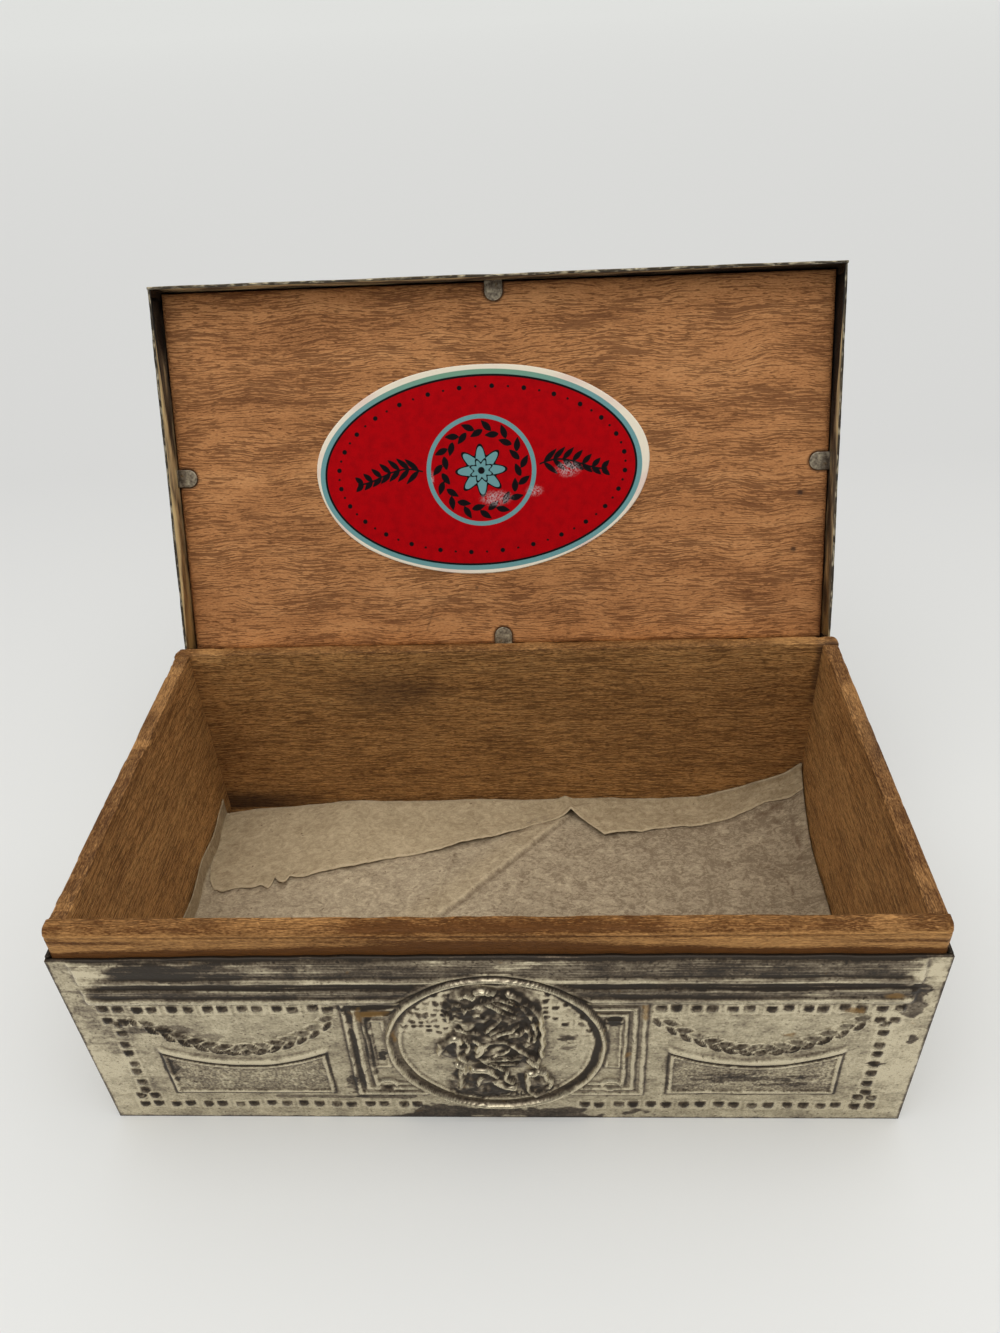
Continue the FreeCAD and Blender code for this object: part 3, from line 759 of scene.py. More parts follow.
class Relief:
    """Height field of an embossed sheet: u runs along it, v up it, and the rise is outwards.

    The pattern is drawn on slightly wavering copies of u and v, so that no line is quite straight.
    """

    waver_spread = 1.4
    groove_spread = 0.4
    groove_depth = 0.1
    groove_weight = 0.25
    hollow_spread = 1.2
    hollow_depth = 0.45
    hollow_weight = 0.22
    upward_weight = 0.14

    def __init__(self, width: float, height: float, step: float, waver: float = 0.0) -> None:
        """Lays a flat grid of the step given."""
        count_u = round(width / step) + 1
        count_v = round(height / step) + 1
        self.step = step
        self.grid_u, self.grid_v = np.meshgrid(
            np.linspace(-width / 2, width / 2, count_u), np.linspace(0, height, count_v), indexing="ij")
        # Besides real stains, this grid takes the painted shade, shadows and highlights drawn by the methods
        # below.
        self.rise, self.stain, self.streak, self.ochre, self.stipple = np.zeros((5, count_u, count_v))
        self.waver(waver, self.waver_spread)

    def waver(self, amount: float, spread: float) -> None:
        """Sets how far the drawing strays from the grid, and over what length."""
        self.u = self.grid_u + amount * self.noise(spread, spread, 1)
        self.v = self.grid_v + amount * self.noise(spread, spread, 2)

    def values(self) -> dict[str, Array]:
        """Per-point values that the plated finish reads."""
        return {"tarnish": self.tarnish(), "streak": self.streak, "ochre": self.ochre,
                "stipple": self.stipple}

    def lift(self, rise: Array) -> None:
        """Raises the sheet to at least a height."""
        self.rise = np.maximum(self.rise, rise)

    def noise(self, spread_u: float, spread_v: float, seed: int) -> Array:
        """Blotches of the spreads given in millimetres."""
        return mottle(self.rise.shape, spread_u / self.step, spread_v / self.step, seed)

    def radius(self, u: float, v: float) -> Array:
        """Distance from a point."""
        return np.hypot(self.u - u, self.v - v)

    def reach(self, path: Sequence[Point], half: float) -> Array:
        """Distance from straight runs, as a share of their half width."""
        runs = zip(path, path[1:])
        return np.min([run_reach(self.u, self.v, start, end) / half for start, end in runs], axis=0)

    def within(self, where: Array, u: float, v: float) -> bool:
        """Whether a mask is set at the grid point nearest to a place."""
        column = round((u - self.grid_u[0, 0]) / self.step)
        row = round((v - self.grid_v[0, 0]) / self.step)
        return bool(where[min(column, where.shape[0] - 1), min(row, where.shape[1] - 1)])

    def ball(self, u: float, v: float, half_u: float, half_v: float, rise: float) -> None:
        """Rounded boss: the upper half of an ellipsoid."""
        self.lift(rise * round_top(oval_reach(self.u, self.v, u, v, half_u, half_v), 1))

    def limb(self, path: Sequence[Point], half: float, rise: float) -> None:
        """Rounded limb along straight runs."""
        self.lift(rise * soft_top(self.reach(path, half), 1.25))

    def shadow(self, path: Sequence[Point], half: float, dark: float) -> None:
        """Dark stroke along straight runs, with soft edges and ends."""
        self.stain += dark * ramp(self.reach(path, half), 1.15, 0.55)

    def leaf(self, root: Point, turn: float, length: float, width: float, rise: float, dark: float) -> None:
        """Swelling leaf with a groove along its midrib, darker inside, with a painted highlight along its
        edge.
        """
        inside = leaf_inside(self.u, self.v, root, turn, length, width)
        across = (self.v - root[1]) * math.cos(turn) - (self.u - root[0]) * math.sin(turn)
        self.lift(rise * ramp(inside, 0, width * 0.3) * (1 - 0.3 * round_top(across, width * 0.12)))
        self.stain += dark * ramp(inside, 0.0, 0.2) - 0.36 * ramp(np.abs(inside + 0.15), 0.38, 0.05)

    def bead(self, u: float, v: float, half: float, rise: float, dark: float) -> None:
        """Square bead with rounded edges: painted shade on its upper half, a painted highlight on its lower
        half and in a ring round it.
        """
        inside = half - np.maximum(np.abs(self.u - u), np.abs(self.v - v))
        self.lift(rise * ramp(inside, 0, half * 0.55))
        shaded_cap = ramp(self.v - v, -0.55 * half, -0.05 * half)
        face = ramp(inside, -0.1, 0.2)
        ring = ramp(np.abs(inside + 0.3), 0.4, 0.1)
        self.stain += face * dark * shaded_cap - 0.26 * ring - 0.16 * face * (1 - shaded_cap)

    def frame(self, inside: Array, width: float, rise: float, dark: float = 0.0) -> None:
        """Rounded moulding along a shape's edge, given by the distance inside it, and a dark line outside."""
        self.lift(rise * soft_top(inside - width / 2, width * 0.7))
        self.stain += dark * ramp(np.abs(inside + 0.15), 0.45, 0.1)

    def foliage(self, where: Array, spacing: float, rise: float, seed: int) -> None:
        """Clumps of small round leaves: jittered bosses wherever a mask is set, each with painted shade on
        one upper side.
        """
        random = np.random.default_rng(seed)
        low_u, high_u = self.grid_u[where].min(), self.grid_u[where].max()
        low_v, high_v = self.grid_v[where].min(), self.grid_v[where].max()
        grid_u, grid_v = np.meshgrid(np.arange(low_u, high_u, spacing), np.arange(low_v, high_v, spacing))
        spots = np.stack([grid_u.ravel(), grid_v.ravel()], -1)
        spots += random.uniform(-0.4, 0.4, spots.shape) * spacing
        for u, v in spots:
            size = random.uniform(0.3, 0.52) * spacing
            if self.within(where, u, v):
                self.ball(u, v, size * random.uniform(0.8, 1.3), size, rise * random.uniform(0.6, 1.0))
                side = random.choice((-1, 1))
                gap = self.radius(u + side * size, v + 0.6 * size)
                self.stain += random.uniform(0.3, 0.75) * ramp(gap, size, 0.45 * size)

    def tarnish(self) -> Array:
        """Dark share: patina in hollows against the blurred rise, painted shade on slopes that face up, a
        painted highlight where the sheet stands above its blur, and the stains and painted light and shade
        drawn on it.
        """
        groove = self.groove_weight * self.sunk(self.groove_spread, self.groove_depth)
        hollow = self.hollow_weight * self.sunk(self.hollow_spread, self.hollow_depth)
        # Slopes that face up are painted darker: painted shade.
        upward_shade = self.upward_weight * np.clip(-np.gradient(self.rise, self.step, axis=1), 0, 1)
        return np.clip(groove + hollow + upward_shade + self.stain, -0.3, 1.05)

    def sunk(self, spread: float, depth: float) -> Array:
        """How far the sheet lies below its own blur, as a share of a depth."""
        cells = spread / self.step
        return np.clip((blurred(self.rise, cells, cells) - self.rise) / depth, -0.5, 1)


@dataclass(frozen=True)
class WallSizes:
    """Sizes of the four walls' embossed pattern. Mouldings are stations of height, rise and darkness."""

    step: float = 0.285
    waver: float = 0.06
    end_inset: float = 4.2
    bead_half: float = 0.92
    bead_rise: float = 0.6
    bead_spacing: float = 2.8
    bead_pitch: float = 6.3
    border_inset: float = 4.5
    row_low: float = 4.6
    row_high: float = 35.0
    moulding: tuple = (
        (36.5, 0.0, 0.0), (37.0, 0.5, 0.1), (38.2, 0.7, 0.24), (38.8, 0.3, 0.56), (40.6, 0.45, 0.46),
        (41.0, 0.0, 0.7), (42.3, -0.1, 0.74), (42.8, 0.6, 0.5), (43.3, 0.8, 0.22), (44.2, 0.75, 0.32),
        (44.7, 0.5, 0.54), (46.5, 0.55, 0.55), (48.6, 0.45, 0.56), (49.5, 0.0, 0.66))
    swag_top: float = 32.4
    swag_drop: float = 9.6
    swag_leaves: int = 7
    swag_gap: float = 0.85
    leaf_length: float = 4.2
    leaf_width: float = 1.5
    cartouche_low: float = 8.6
    cartouche_high: float = 21.8
    cartouche_sag: float = 4.1
    cartouche_strip: float = 0.7
    medallion_height: float = 24.2
    medallion_radius: float = 19.9
    arch_gap: float = 1.3
    rim_half: float = 0.62
    inner_rim_gap: float = 2.5
    figure_waver: Point = (0.22, 0.9)
    pilaster_insets: tuple = (0, 1.7, 3.4)
    slip_place: Point = (21.2, 24.6)
    slip_half: Point = (1.5, 7.4)
    scroll_place: Point = (21.0, 11.4)
    scroll_radius: Point = (2.2, 2.0)
    scroll_tightening: float = 0.17


def pair_places(start: float, end: float, pitch: float, spacing: float) -> list[float]:
    """Places of beads in close pairs, spread evenly from start to end."""
    pairs = max(1, round((end - start) / pitch))
    step = (end - start) / pairs
    return [start + step * (index + 0.5) + side * spacing / 2 for index in range(pairs) for side in (-1, 1)]


@dataclass(frozen=True)
class Putto:
    """Winged child among leaves, worn down to ridges and hollows, in millimetres on the wall.

    Masses are ovals (u, v, half u, half v, rise, darkness), ridges are a half width and a path, hollows are a
    half width, a darkness and a path. A hollow's darkness is painted shadow, and ridges get a painted
    highlight.
    """

    rise: float = 1.3
    leaf_pitch: Point = (1.5, 1.65)
    leaf_half: float = 0.56
    leaf_rise: float = 0.35
    masses: tuple = (
        (-4.4, 35.0, 4.4, 6.2, 1.0, 0.56), (3.0, 34.6, 5.4, 6.6, 0.8, 0.54),
        (-1.0, 27.5, 7.2, 3.2, 0.8, 0.42), (-7.6, 24.2, 2.6, 3.6, 0.8, 0.4),
        (1.2, 21.6, 5.8, 4.6, 0.8, 0.5), (6.4, 26.5, 2.2, 7.5, 0.6, 0.45),
        (-3.0, 13.2, 6.4, 5.6, 0.7, 0.45), (7.4, 12.8, 2.5, 4.2, 0.9, 0.25),
        (-4.6, 31.4, 1.7, 1.8, 1.3, -0.25))
    ridges: tuple = (
        (0.32, (-7.6, 36.4), (-6.8, 37.5), (-5.6, 37.0)), (0.32, (-5.6, 38.8), (-4.3, 39.7), (-3.0, 39.0)),
        (0.3, (-2.7, 37.5), (-1.7, 38.3), (-0.9, 37.3)), (0.3, (-6.9, 34.6), (-5.9, 35.6), (-4.7, 35.2)),
        (0.3, (-4.1, 36.4), (-3.0, 37.0), (-2.2, 36.2)), (0.3, (-7.3, 32.6), (-6.6, 33.6), (-5.6, 33.4)),
        (0.3, (-3.5, 34.4), (-2.6, 34.8), (-1.8, 33.8)), (0.35, (-6.4, 30.0), (-4.6, 29.2), (-3.0, 29.8)),
        (0.35, (-1.1, 38.0), (1.0, 38.8), (3.5, 37.6)), (0.32, (-0.9, 37.2), (1.4, 35.4), (3.5, 33.9)),
        (0.32, (0.3, 37.8), (2.2, 36.4), (3.9, 35.2)),
        (0.5, (2.6, 40.3), (4.6, 38.9), (6.2, 37.0), (7.4, 35.2), (8.2, 33.3), (8.6, 30.6), (8.6, 27.6),
         (8.2, 22.0)),
        (0.36, (-0.4, 28.8), (1.6, 30.2), (3.0, 32.4)), (0.36, (0.8, 28.2), (3.0, 29.4), (4.4, 31.4)),
        (0.36, (-1.2, 29.8), (0.4, 31.8), (1.4, 33.6)), (0.36, (2.2, 27.8), (4.2, 28.6), (5.6, 30.2)),
        (0.34, (4.8, 36.6), (6.4, 34.2), (6.8, 32.6)), (0.34, (3.2, 38.8), (4.8, 37.4), (5.8, 35.6)),
        (0.34, (7.0, 31.4), (7.4, 29.2), (7.2, 27.6)), (0.34, (5.6, 30.8), (6.4, 28.8), (6.0, 27.0)),
        (0.32, (-2.8, 40.4), (-1.2, 40.8), (0.4, 40.2)), (0.3, (-8.3, 34.8), (-7.8, 33.6), (-8.0, 32.2)),
        (0.3, (-5.2, 36.4), (-4.4, 35.8), (-4.8, 34.6)),
        (0.6, (-10.0, 22.6), (-9.8, 24.6), (-8.9, 26.3), (-7.5, 27.1), (-6.4, 26.2)),
        (0.42, (-6.8, 26.6), (-7.0, 24.2), (-6.6, 21.7), (-5.3, 20.0)),
        (0.38, (-5.5, 27.5), (-4.7, 25.4), (-4.9, 23.4)), (0.38, (-3.7, 27.3), (-2.9, 25.4), (-3.5, 23.6)),
        (0.32, (-2.4, 20.9), (0.4, 22.8), (2.6, 24.2)), (0.32, (-2.4, 20.9), (0.8, 21.8), (3.9, 22.5)),
        (0.32, (-2.4, 20.9), (0.8, 20.9), (4.2, 20.7)), (0.32, (-2.4, 20.9), (0.6, 19.9), (3.6, 18.9)),
        (0.32, (-2.4, 20.9), (-0.4, 18.9), (1.4, 17.6)),
        (0.46, (-3.2, 22.4), (-2.4, 24.8), (-1.1, 26.3), (1.4, 26.7), (3.9, 24.6), (5.8, 22.2),
         (7.7, 19.6)),
        (0.36, (5.2, 24.9), (6.3, 26.5), (7.4, 27.5)), (0.36, (5.3, 20.2), (6.2, 18.8), (7.6, 18.1)),
        (0.5, (5.9, 11.0), (5.6, 14.2), (5.8, 16.2), (6.7, 15.5), (7.7, 16.6), (9.2, 16.0), (9.8, 13.2),
         (8.7, 10.3), (6.9, 8.8), (5.9, 11.0)),
        (0.5, (-4.6, 17.6), (-2.4, 17.0), (-0.4, 15.2)), (0.6, (-6.6, 16.4), (-7.2, 14.2), (-6.8, 12.2)),
        (0.5, (-3.6, 14.4), (-4.4, 12.4)), (0.55, (-0.9, 13.4), (0.8, 12.2), (2.6, 11.8)),
        (0.4, (1.8, 16.2), (1.4, 14.6), (2.6, 13.4)), (0.4, (-7.6, 18.6), (-6.4, 17.6), (-5.6, 16.4)))
    hollows: tuple = (
        (0.7, 0.6, (5.3, 33.8), (5.4, 30.6), (4.2, 27.9), (1.6, 27.5)),
        (0.7, 0.5, (-2.9, 31.6), (-2.4, 30.4)), (0.5, 0.35, (-0.2, 36.2), (2.0, 34.4)),
        (0.8, 0.3, (4.2, 37.6), (6.0, 34.8)), (0.65, 0.6, (-8.7, 25.0), (-8.3, 23.4), (-7.9, 22.0)),
        (0.95, 0.6, (-4.5, 20.5), (-3.9, 19.7)), (0.45, 0.4, (-5.9, 25.4), (-5.8, 23.0)),
        (0.4, 0.4, (-4.0, 25.6), (-4.2, 24.0)), (0.3, 0.4, (0.0, 22.0), (2.6, 23.2)),
        (0.3, 0.4, (0.2, 21.3), (3.5, 21.6)), (0.3, 0.4, (0.2, 20.4), (3.5, 19.8)),
        (0.3, 0.4, (-0.2, 19.6), (2.2, 18.4)), (0.45, 0.4, (-1.6, 24.0), (0.4, 25.3), (2.6, 25.0)),
        (0.75, 0.75, (4.5, 15.2), (4.2, 12.4), (5.4, 8.8)), (0.9, 0.3, (7.4, 14.6), (7.6, 12.6)),
        (0.5, 0.4, (-4.4, 15.8), (-4.8, 12.0)), (0.5, 0.4, (-2.8, 12.6), (-2.9, 9.6)),
        (0.5, 0.4, (0.2, 12.0), (1.6, 10.0)), (0.5, 0.4, (-6.9, 14.0), (-7.6, 10.6)),
        (0.45, 0.35, (-0.4, 16.0), (0.6, 14.2)), (0.5, 0.4, (-1.6, 18.2), (1.0, 15.8)))

    def draw(self, relief: Relief, room: Array) -> None:
        """Draws trees, ground, masses, hollows and ridges.

        Args:
            relief: Sheet that it is drawn on.
            room: Where the medallion's field leaves room for leaves.
        """
        u, v = relief.grid_u, relief.grid_v
        self.tree(relief, room & (u < -7.2) & (v > 28.4 + 0.06 * (u + 11) ** 2), 1.0, 31)
        self.tree(relief, room & (u > 9.2) & (v > 30.5 - 0.2 * (u - 9)), 0.6, 32)
        ground = room & (v < 9.6 + 0.012 * u ** 2 + 1.4 * np.sin(u * 0.8 + 0.6))
        relief.foliage(ground, 1.0, 0.55, 33)
        relief.stain += 0.32 * blurred((ground & (np.abs(u) < 13)).astype(float), 3, 3)
        dimmed = np.zeros_like(u)
        for *oval, rise, dark in self.masses:
            reach = oval_reach(relief.u, relief.v, *oval)
            relief.lift(rise * round_top(reach, 1))
            dimmed = np.where(reach < 1.1, np.maximum(dimmed, dark * ramp(reach, 1.1, 0.85)), dimmed)
            dimmed += min(dark, 0) * ramp(reach, 1.0, 0.6)
        patchy = 1.15 + 0.25 * relief.noise(0.9, 0.9, 35) + 0.45 * relief.noise(0.4, 0.35, 36)
        relief.stain += dimmed * patchy
        relief.rise += 0.1 * blurred((dimmed > 0.1).astype(float), 3, 3) * relief.noise(0.45, 0.45, 34)
        # Hollows: strokes of painted shadow.
        for half, dark, *path in self.hollows:
            relief.shadow(path, half, dark)
        # Ridges are painted lighter along their tops, patchily: a painted highlight.
        worn = np.clip(0.8 + 0.45 * relief.noise(0.7, 0.6, 37), 0.15, 1.3)
        for half, *path in self.ridges:
            reach = relief.reach(path, half)
            relief.lift(self.rise * soft_top(reach, 1.4))
            relief.stain -= 0.55 * worn * ramp(reach, 1.25, 0.6)

    def tree(self, relief: Relief, where: Array, share: float, seed: int) -> None:
        """Leaves of a tree: a jittered lattice of small dark squares, of which a share is kept."""
        random = np.random.default_rng(seed)
        pitch_u, pitch_v = self.leaf_pitch
        columns = np.arange(relief.grid_u[where].min(), relief.grid_u[where].max(), pitch_u)
        rows = np.arange(relief.grid_v[where].min(), relief.grid_v[where].max(), pitch_v)
        for u in columns:
            for v in rows:
                shift_u, shift_v = random.uniform(-0.3, 0.3, 2)
                dark = random.uniform(0.45, 0.9)
                if relief.within(where, u, v) and random.uniform() < share:
                    relief.bead(u + shift_u, v + shift_v, self.leaf_half, self.leaf_rise, dark)


@dataclass
class WallPattern:
    """Draws the mouldings, beads, swags, cartouches and medallion of one wall."""

    width: float
    height: float
    sizes: WallSizes = WallSizes()

    def __post_init__(self) -> None:
        """Lays the bare sheet."""
        self.relief = Relief(self.width, self.height, self.sizes.step, self.sizes.waver)

    def mouldings(self) -> None:
        """Level mouldings: rise and darkness follow stations up the wall and die out raggedly at the ends."""
        relief, sizes = self.relief, self.sizes
        levels, rises, darks = zip(*sizes.moulding)
        reach = self.width / 2 - sizes.end_inset
        ends = ramp(np.abs(relief.u) + 0.3 * relief.noise(1, 3, 11), reach + 0.6, reach - 0.4)
        worn = ramp(np.abs(relief.u) + 2.2 * relief.noise(2.5, 0.6, 12), reach + 1.0, reach - 3.0)
        relief.rise += np.interp(relief.v, levels, rises) * ends
        relief.streak += ramp(relief.v, 38.2, 39.0) * worn
        relief.stain += np.interp(relief.v, levels, darks) * worn * (1 + 0.16 * relief.noise(9, 0.7, 13))

    def beads(self, top_start: float, bottom_start: float) -> None:
        """Rows of paired beads above and below, and a column at each end."""
        relief, sizes = self.relief, self.sizes
        end = self.width / 2 - sizes.border_inset
        column = end - sizes.bead_pitch / 2
        half = sizes.bead_spacing / 2
        places = [(u, sizes.row_high) for u in self.pairs(top_start, end)]
        places += [(u, sizes.row_low) for u in self.pairs(bottom_start, end)]
        places += [(column, v) for v in self.pairs(sizes.row_low + half * 2, sizes.row_high - half * 2)]
        places += [(column + half * side, sizes.row_high - sizes.bead_spacing * 1.2) for side in (-1, 1)]
        places += [(column + half * side, sizes.row_low + sizes.bead_spacing) for side in (-1, 1)]
        random = np.random.default_rng(5)
        for u, v in places:
            for side in (-1, 1):
                shift_u, shift_v = random.normal(0, 0.14, 2)
                rise = sizes.bead_rise * random.uniform(0.6, 1.0)
                dark = random.uniform(0.55, 0.95)
                relief.bead(side * u + shift_u, v + shift_v, sizes.bead_half, rise, dark)

    def pairs(self, start: float, end: float) -> list[float]:
        """Paired places at this wall's pitch."""
        return pair_places(start, end, self.sizes.bead_pitch, self.sizes.bead_spacing)

    def swag(self, centre: float, half: float) -> None:
        """Laurel garland on a parabola: two rows of leaves, one above and one below the stem."""
        relief, sizes = self.relief, self.sizes
        random = np.random.default_rng(9)
        for index in range(sizes.swag_leaves * 2):
            for row in (-1, 1):
                share = (index + 0.5 + 0.25 * row) / sizes.swag_leaves - 1
                inward = -1 if share > 0 else 1
                slope = math.atan2(2 * sizes.swag_drop * share / half, 1)
                u = centre + share * half - row * sizes.swag_gap * math.sin(slope)
                sag = sizes.swag_drop * (1 - share ** 2)
                v = sizes.swag_top - sag + row * sizes.swag_gap * math.cos(slope)
                lean = (0.5 if row > 0 else -0.3) * inward + random.normal(0, 0.08)
                turn = slope + (math.pi if inward < 0 else 0) + lean
                full = 0.8 + 0.2 * (1 - share ** 2)
                back = sizes.leaf_length * full / 2
                root = (u - back * math.cos(turn), v - back * math.sin(turn))
                dark = random.uniform(0.35, 0.7) if row > 0 else random.uniform(0.6, 0.9)
                relief.leaf(root, turn, back * 2, sizes.leaf_width * full, 0.6, dark)

    def cartouche(self, centre: float, half: float) -> None:
        """Panel with a top that sags on a parabola: rolled border, dark line, thin bead, stippled ground."""
        relief, sizes = self.relief, self.sizes
        across = relief.u - centre
        top = sizes.cartouche_high - sizes.cartouche_sag * (1 - (across / half) ** 2)
        inside = np.minimum(half - np.abs(across), np.minimum(relief.v - sizes.cartouche_low, top - relief.v))
        field = ramp(inside, sizes.cartouche_strip, sizes.cartouche_strip + 0.5)
        relief.rise += field * 0.05 * relief.noise(0.3, 0.3, 21)
        over = ramp(half - np.abs(across), -0.6, 0.6)
        # The rolled border above the top is painted lighter: a painted highlight.
        relief.stain += 0.14 * field - 0.1 * ramp(np.abs(top - relief.v + 1.1), 1.2, 0.3) * over
        relief.stain += 0.62 * ramp(np.abs(inside), 0.42, 0.12)
        relief.stipple += field
        relief.lift(0.45 * soft_top(top - relief.v + 1.1, 1.2) * over)
        relief.lift(0.35 * soft_top(inside - 0.6, 0.5))

    def pilasters(self, half: float, low: float, high: float) -> None:
        """Nested frames behind the medallion, a sunk slip in each and a scroll at each foot."""
        relief, sizes = self.relief, self.sizes
        distance = relief.radius(0, sizes.medallion_height)
        clear = ramp(distance, sizes.medallion_radius + 0.4, sizes.medallion_radius + 1)
        kept, stain = relief.rise.copy(), relief.stain.copy()
        middle = (low + high) / 2
        for inset in sizes.pilaster_insets:
            tall = (high - low) / 2 - inset
            inside = np.minimum(half - inset - np.abs(relief.u), tall - np.abs(relief.v - middle))
            relief.frame(inside, 0.75, 0.4, 0.32)
        for side in (-1, 1):
            across, up = relief.u - side * sizes.slip_place[0], relief.v - sizes.slip_place[1]
            inside = np.minimum(sizes.slip_half[0] - np.abs(across), sizes.slip_half[1] - np.abs(up))
            relief.frame(inside, 0.5, 0.3, 0.3)
            relief.limb(self.scroll(side), 0.45, 0.6)
        relief.rise = kept + (relief.rise - kept) * clear
        relief.stain = stain + (relief.stain - stain) * clear

    def scroll(self, side: int) -> list[Point]:
        """Path of one scroll: most of a turn whose radius shrinks evenly."""
        sizes = self.sizes
        turns = np.linspace(0, 1.6 * math.pi, 9)
        shrunk = sizes.scroll_tightening * turns
        u = side * (sizes.scroll_place[0] + (sizes.scroll_radius[0] - shrunk) * np.cos(turns))
        v = sizes.scroll_place[1] + (sizes.scroll_radius[1] - shrunk) * np.sin(turns)
        return list(zip(u, v))

    def medallion(self) -> None:
        """Round medallion: two thin rims, a swelling field, and a small arch of moulding over its top."""
        relief, sizes = self.relief, self.sizes
        radius = relief.radius(0, sizes.medallion_height)
        outer = sizes.medallion_radius
        relief.rise *= ramp(radius, outer + 0.5, outer + 1.9)
        relief.streak *= ramp(radius, outer + 0.5, outer + 1.9)
        relief.stain *= ramp(radius, outer - 0.5, outer + 1.9)
        bearing = np.arctan2(relief.v - sizes.medallion_height, relief.u)
        arch = ramp(np.sin(bearing), 0.62, 0.8)
        relief.lift(0.7 * soft_top(radius - outer - sizes.arch_gap, 1.0) * arch)
        shaded = ramp(np.cos(bearing - 1.0), -0.5, 0.5)
        relief.lift(1.1 * soft_top(radius - outer + 0.4, sizes.rim_half))
        relief.lift(0.35 * soft_top(radius - outer + sizes.inner_rim_gap, 0.45) * (1 - 0.8 * shaded))
        field = ramp(radius, outer - 2.9, outer - 3.6)
        relief.rise += field * 0.3 * (1 - (radius / outer) ** 2)
        ring = ramp(np.abs(radius - outer + 1.4 + 0.12 * relief.noise(1.2, 1.2, 45)), 0.8, 0.35)
        cast = 0.3 * shaded * ramp(np.abs(radius - outer - 0.4), 0.5, 0.2)
        relief.stain += ring * (0.2 + 0.75 * shaded) + cast

    def putto(self) -> None:
        """Figure in the medallion's field, drawn less steadily than the rest."""
        relief, sizes = self.relief, self.sizes
        relief.waver(*sizes.figure_waver)
        room = relief.radius(0, sizes.medallion_height) < sizes.medallion_radius - sizes.inner_rim_gap
        Putto().draw(relief, room)
        relief.waver(sizes.waver, relief.waver_spread)

    def patches(self, spots: Sequence[Sequence[float]], spread: float = 2.0) -> None:
        """Stains: ovals (u, v, half u, half v, strength) with ragged edges."""
        relief = self.relief
        ragged = 0.3 * relief.noise(spread, spread * 0.3, 41) + 0.12 * relief.noise(0.5, 0.4, 42)
        for *oval, strength in spots:
            relief.stain += strength * ramp(oval_reach(relief.u, relief.v, *oval) + ragged, 1.06, 0.88)

    def rust(self, spots: Sequence[Sequence[float]]) -> None:
        """Ochre spots: ovals (u, v, half u, half v) with ragged edges."""
        relief = self.relief
        ragged = 0.35 * relief.noise(0.6, 0.5, 44)
        for oval in spots:
            reach = oval_reach(relief.u, relief.v, *oval) + ragged
            relief.ochre = np.maximum(relief.ochre, 0.75 * ramp(reach, 1.2, 0.5))

    def edges(self) -> None:
        """Dark line round the sheet's edge; along its foot it is a painted contact shadow."""
        relief = self.relief
        to_edge = np.minimum(self.width / 2 - np.abs(relief.grid_u),
                             np.minimum(relief.grid_v, self.height - relief.grid_v))
        relief.stain += 0.7 * ramp(to_edge + 0.06 * relief.noise(0.5, 0.5, 43), 0.45, 0.1)


@dataclass(frozen=True)
class Facing:
    """Where a sheet stands: origin, u, v and outward directions, and the swing of a sheet on the lid."""

    origin: tuple
    along: tuple
    up: tuple
    out: tuple
    swing: Optional[Swing] = None

    def __call__(self, local: Array) -> Array:
        """Local points carried to the part."""
        axes = np.array([self.along, self.up, self.out], float)
        points = local @ axes + np.array(self.origin, float)
        return points if self.swing is None else self.swing.opened(points)


class Side(Enum):
    """The four sides with the direction of u and the outward direction, seen from above."""

    FRONT = (EAST, SOUTH)
    BACK = (WEST, NORTH)
    LEFT = (SOUTH, WEST)
    RIGHT = (NORTH, EAST)

    @property
    def label(self) -> str:
        """Name of this side in the names of pieces."""
        return self.name.lower()

    @property
    def long(self) -> bool:
        """Whether this is the front or the back."""
        return self in (Side.FRONT, Side.BACK)

    def facing(self, distance: float, level: float, swing: Optional[Swing] = None) -> Facing:
        """A sheet that stands on this side at a distance from the middle, from a level upwards."""
        along, out = self.value
        return Facing((out[0] * distance, out[1] * distance, level), along, UP, out, swing)


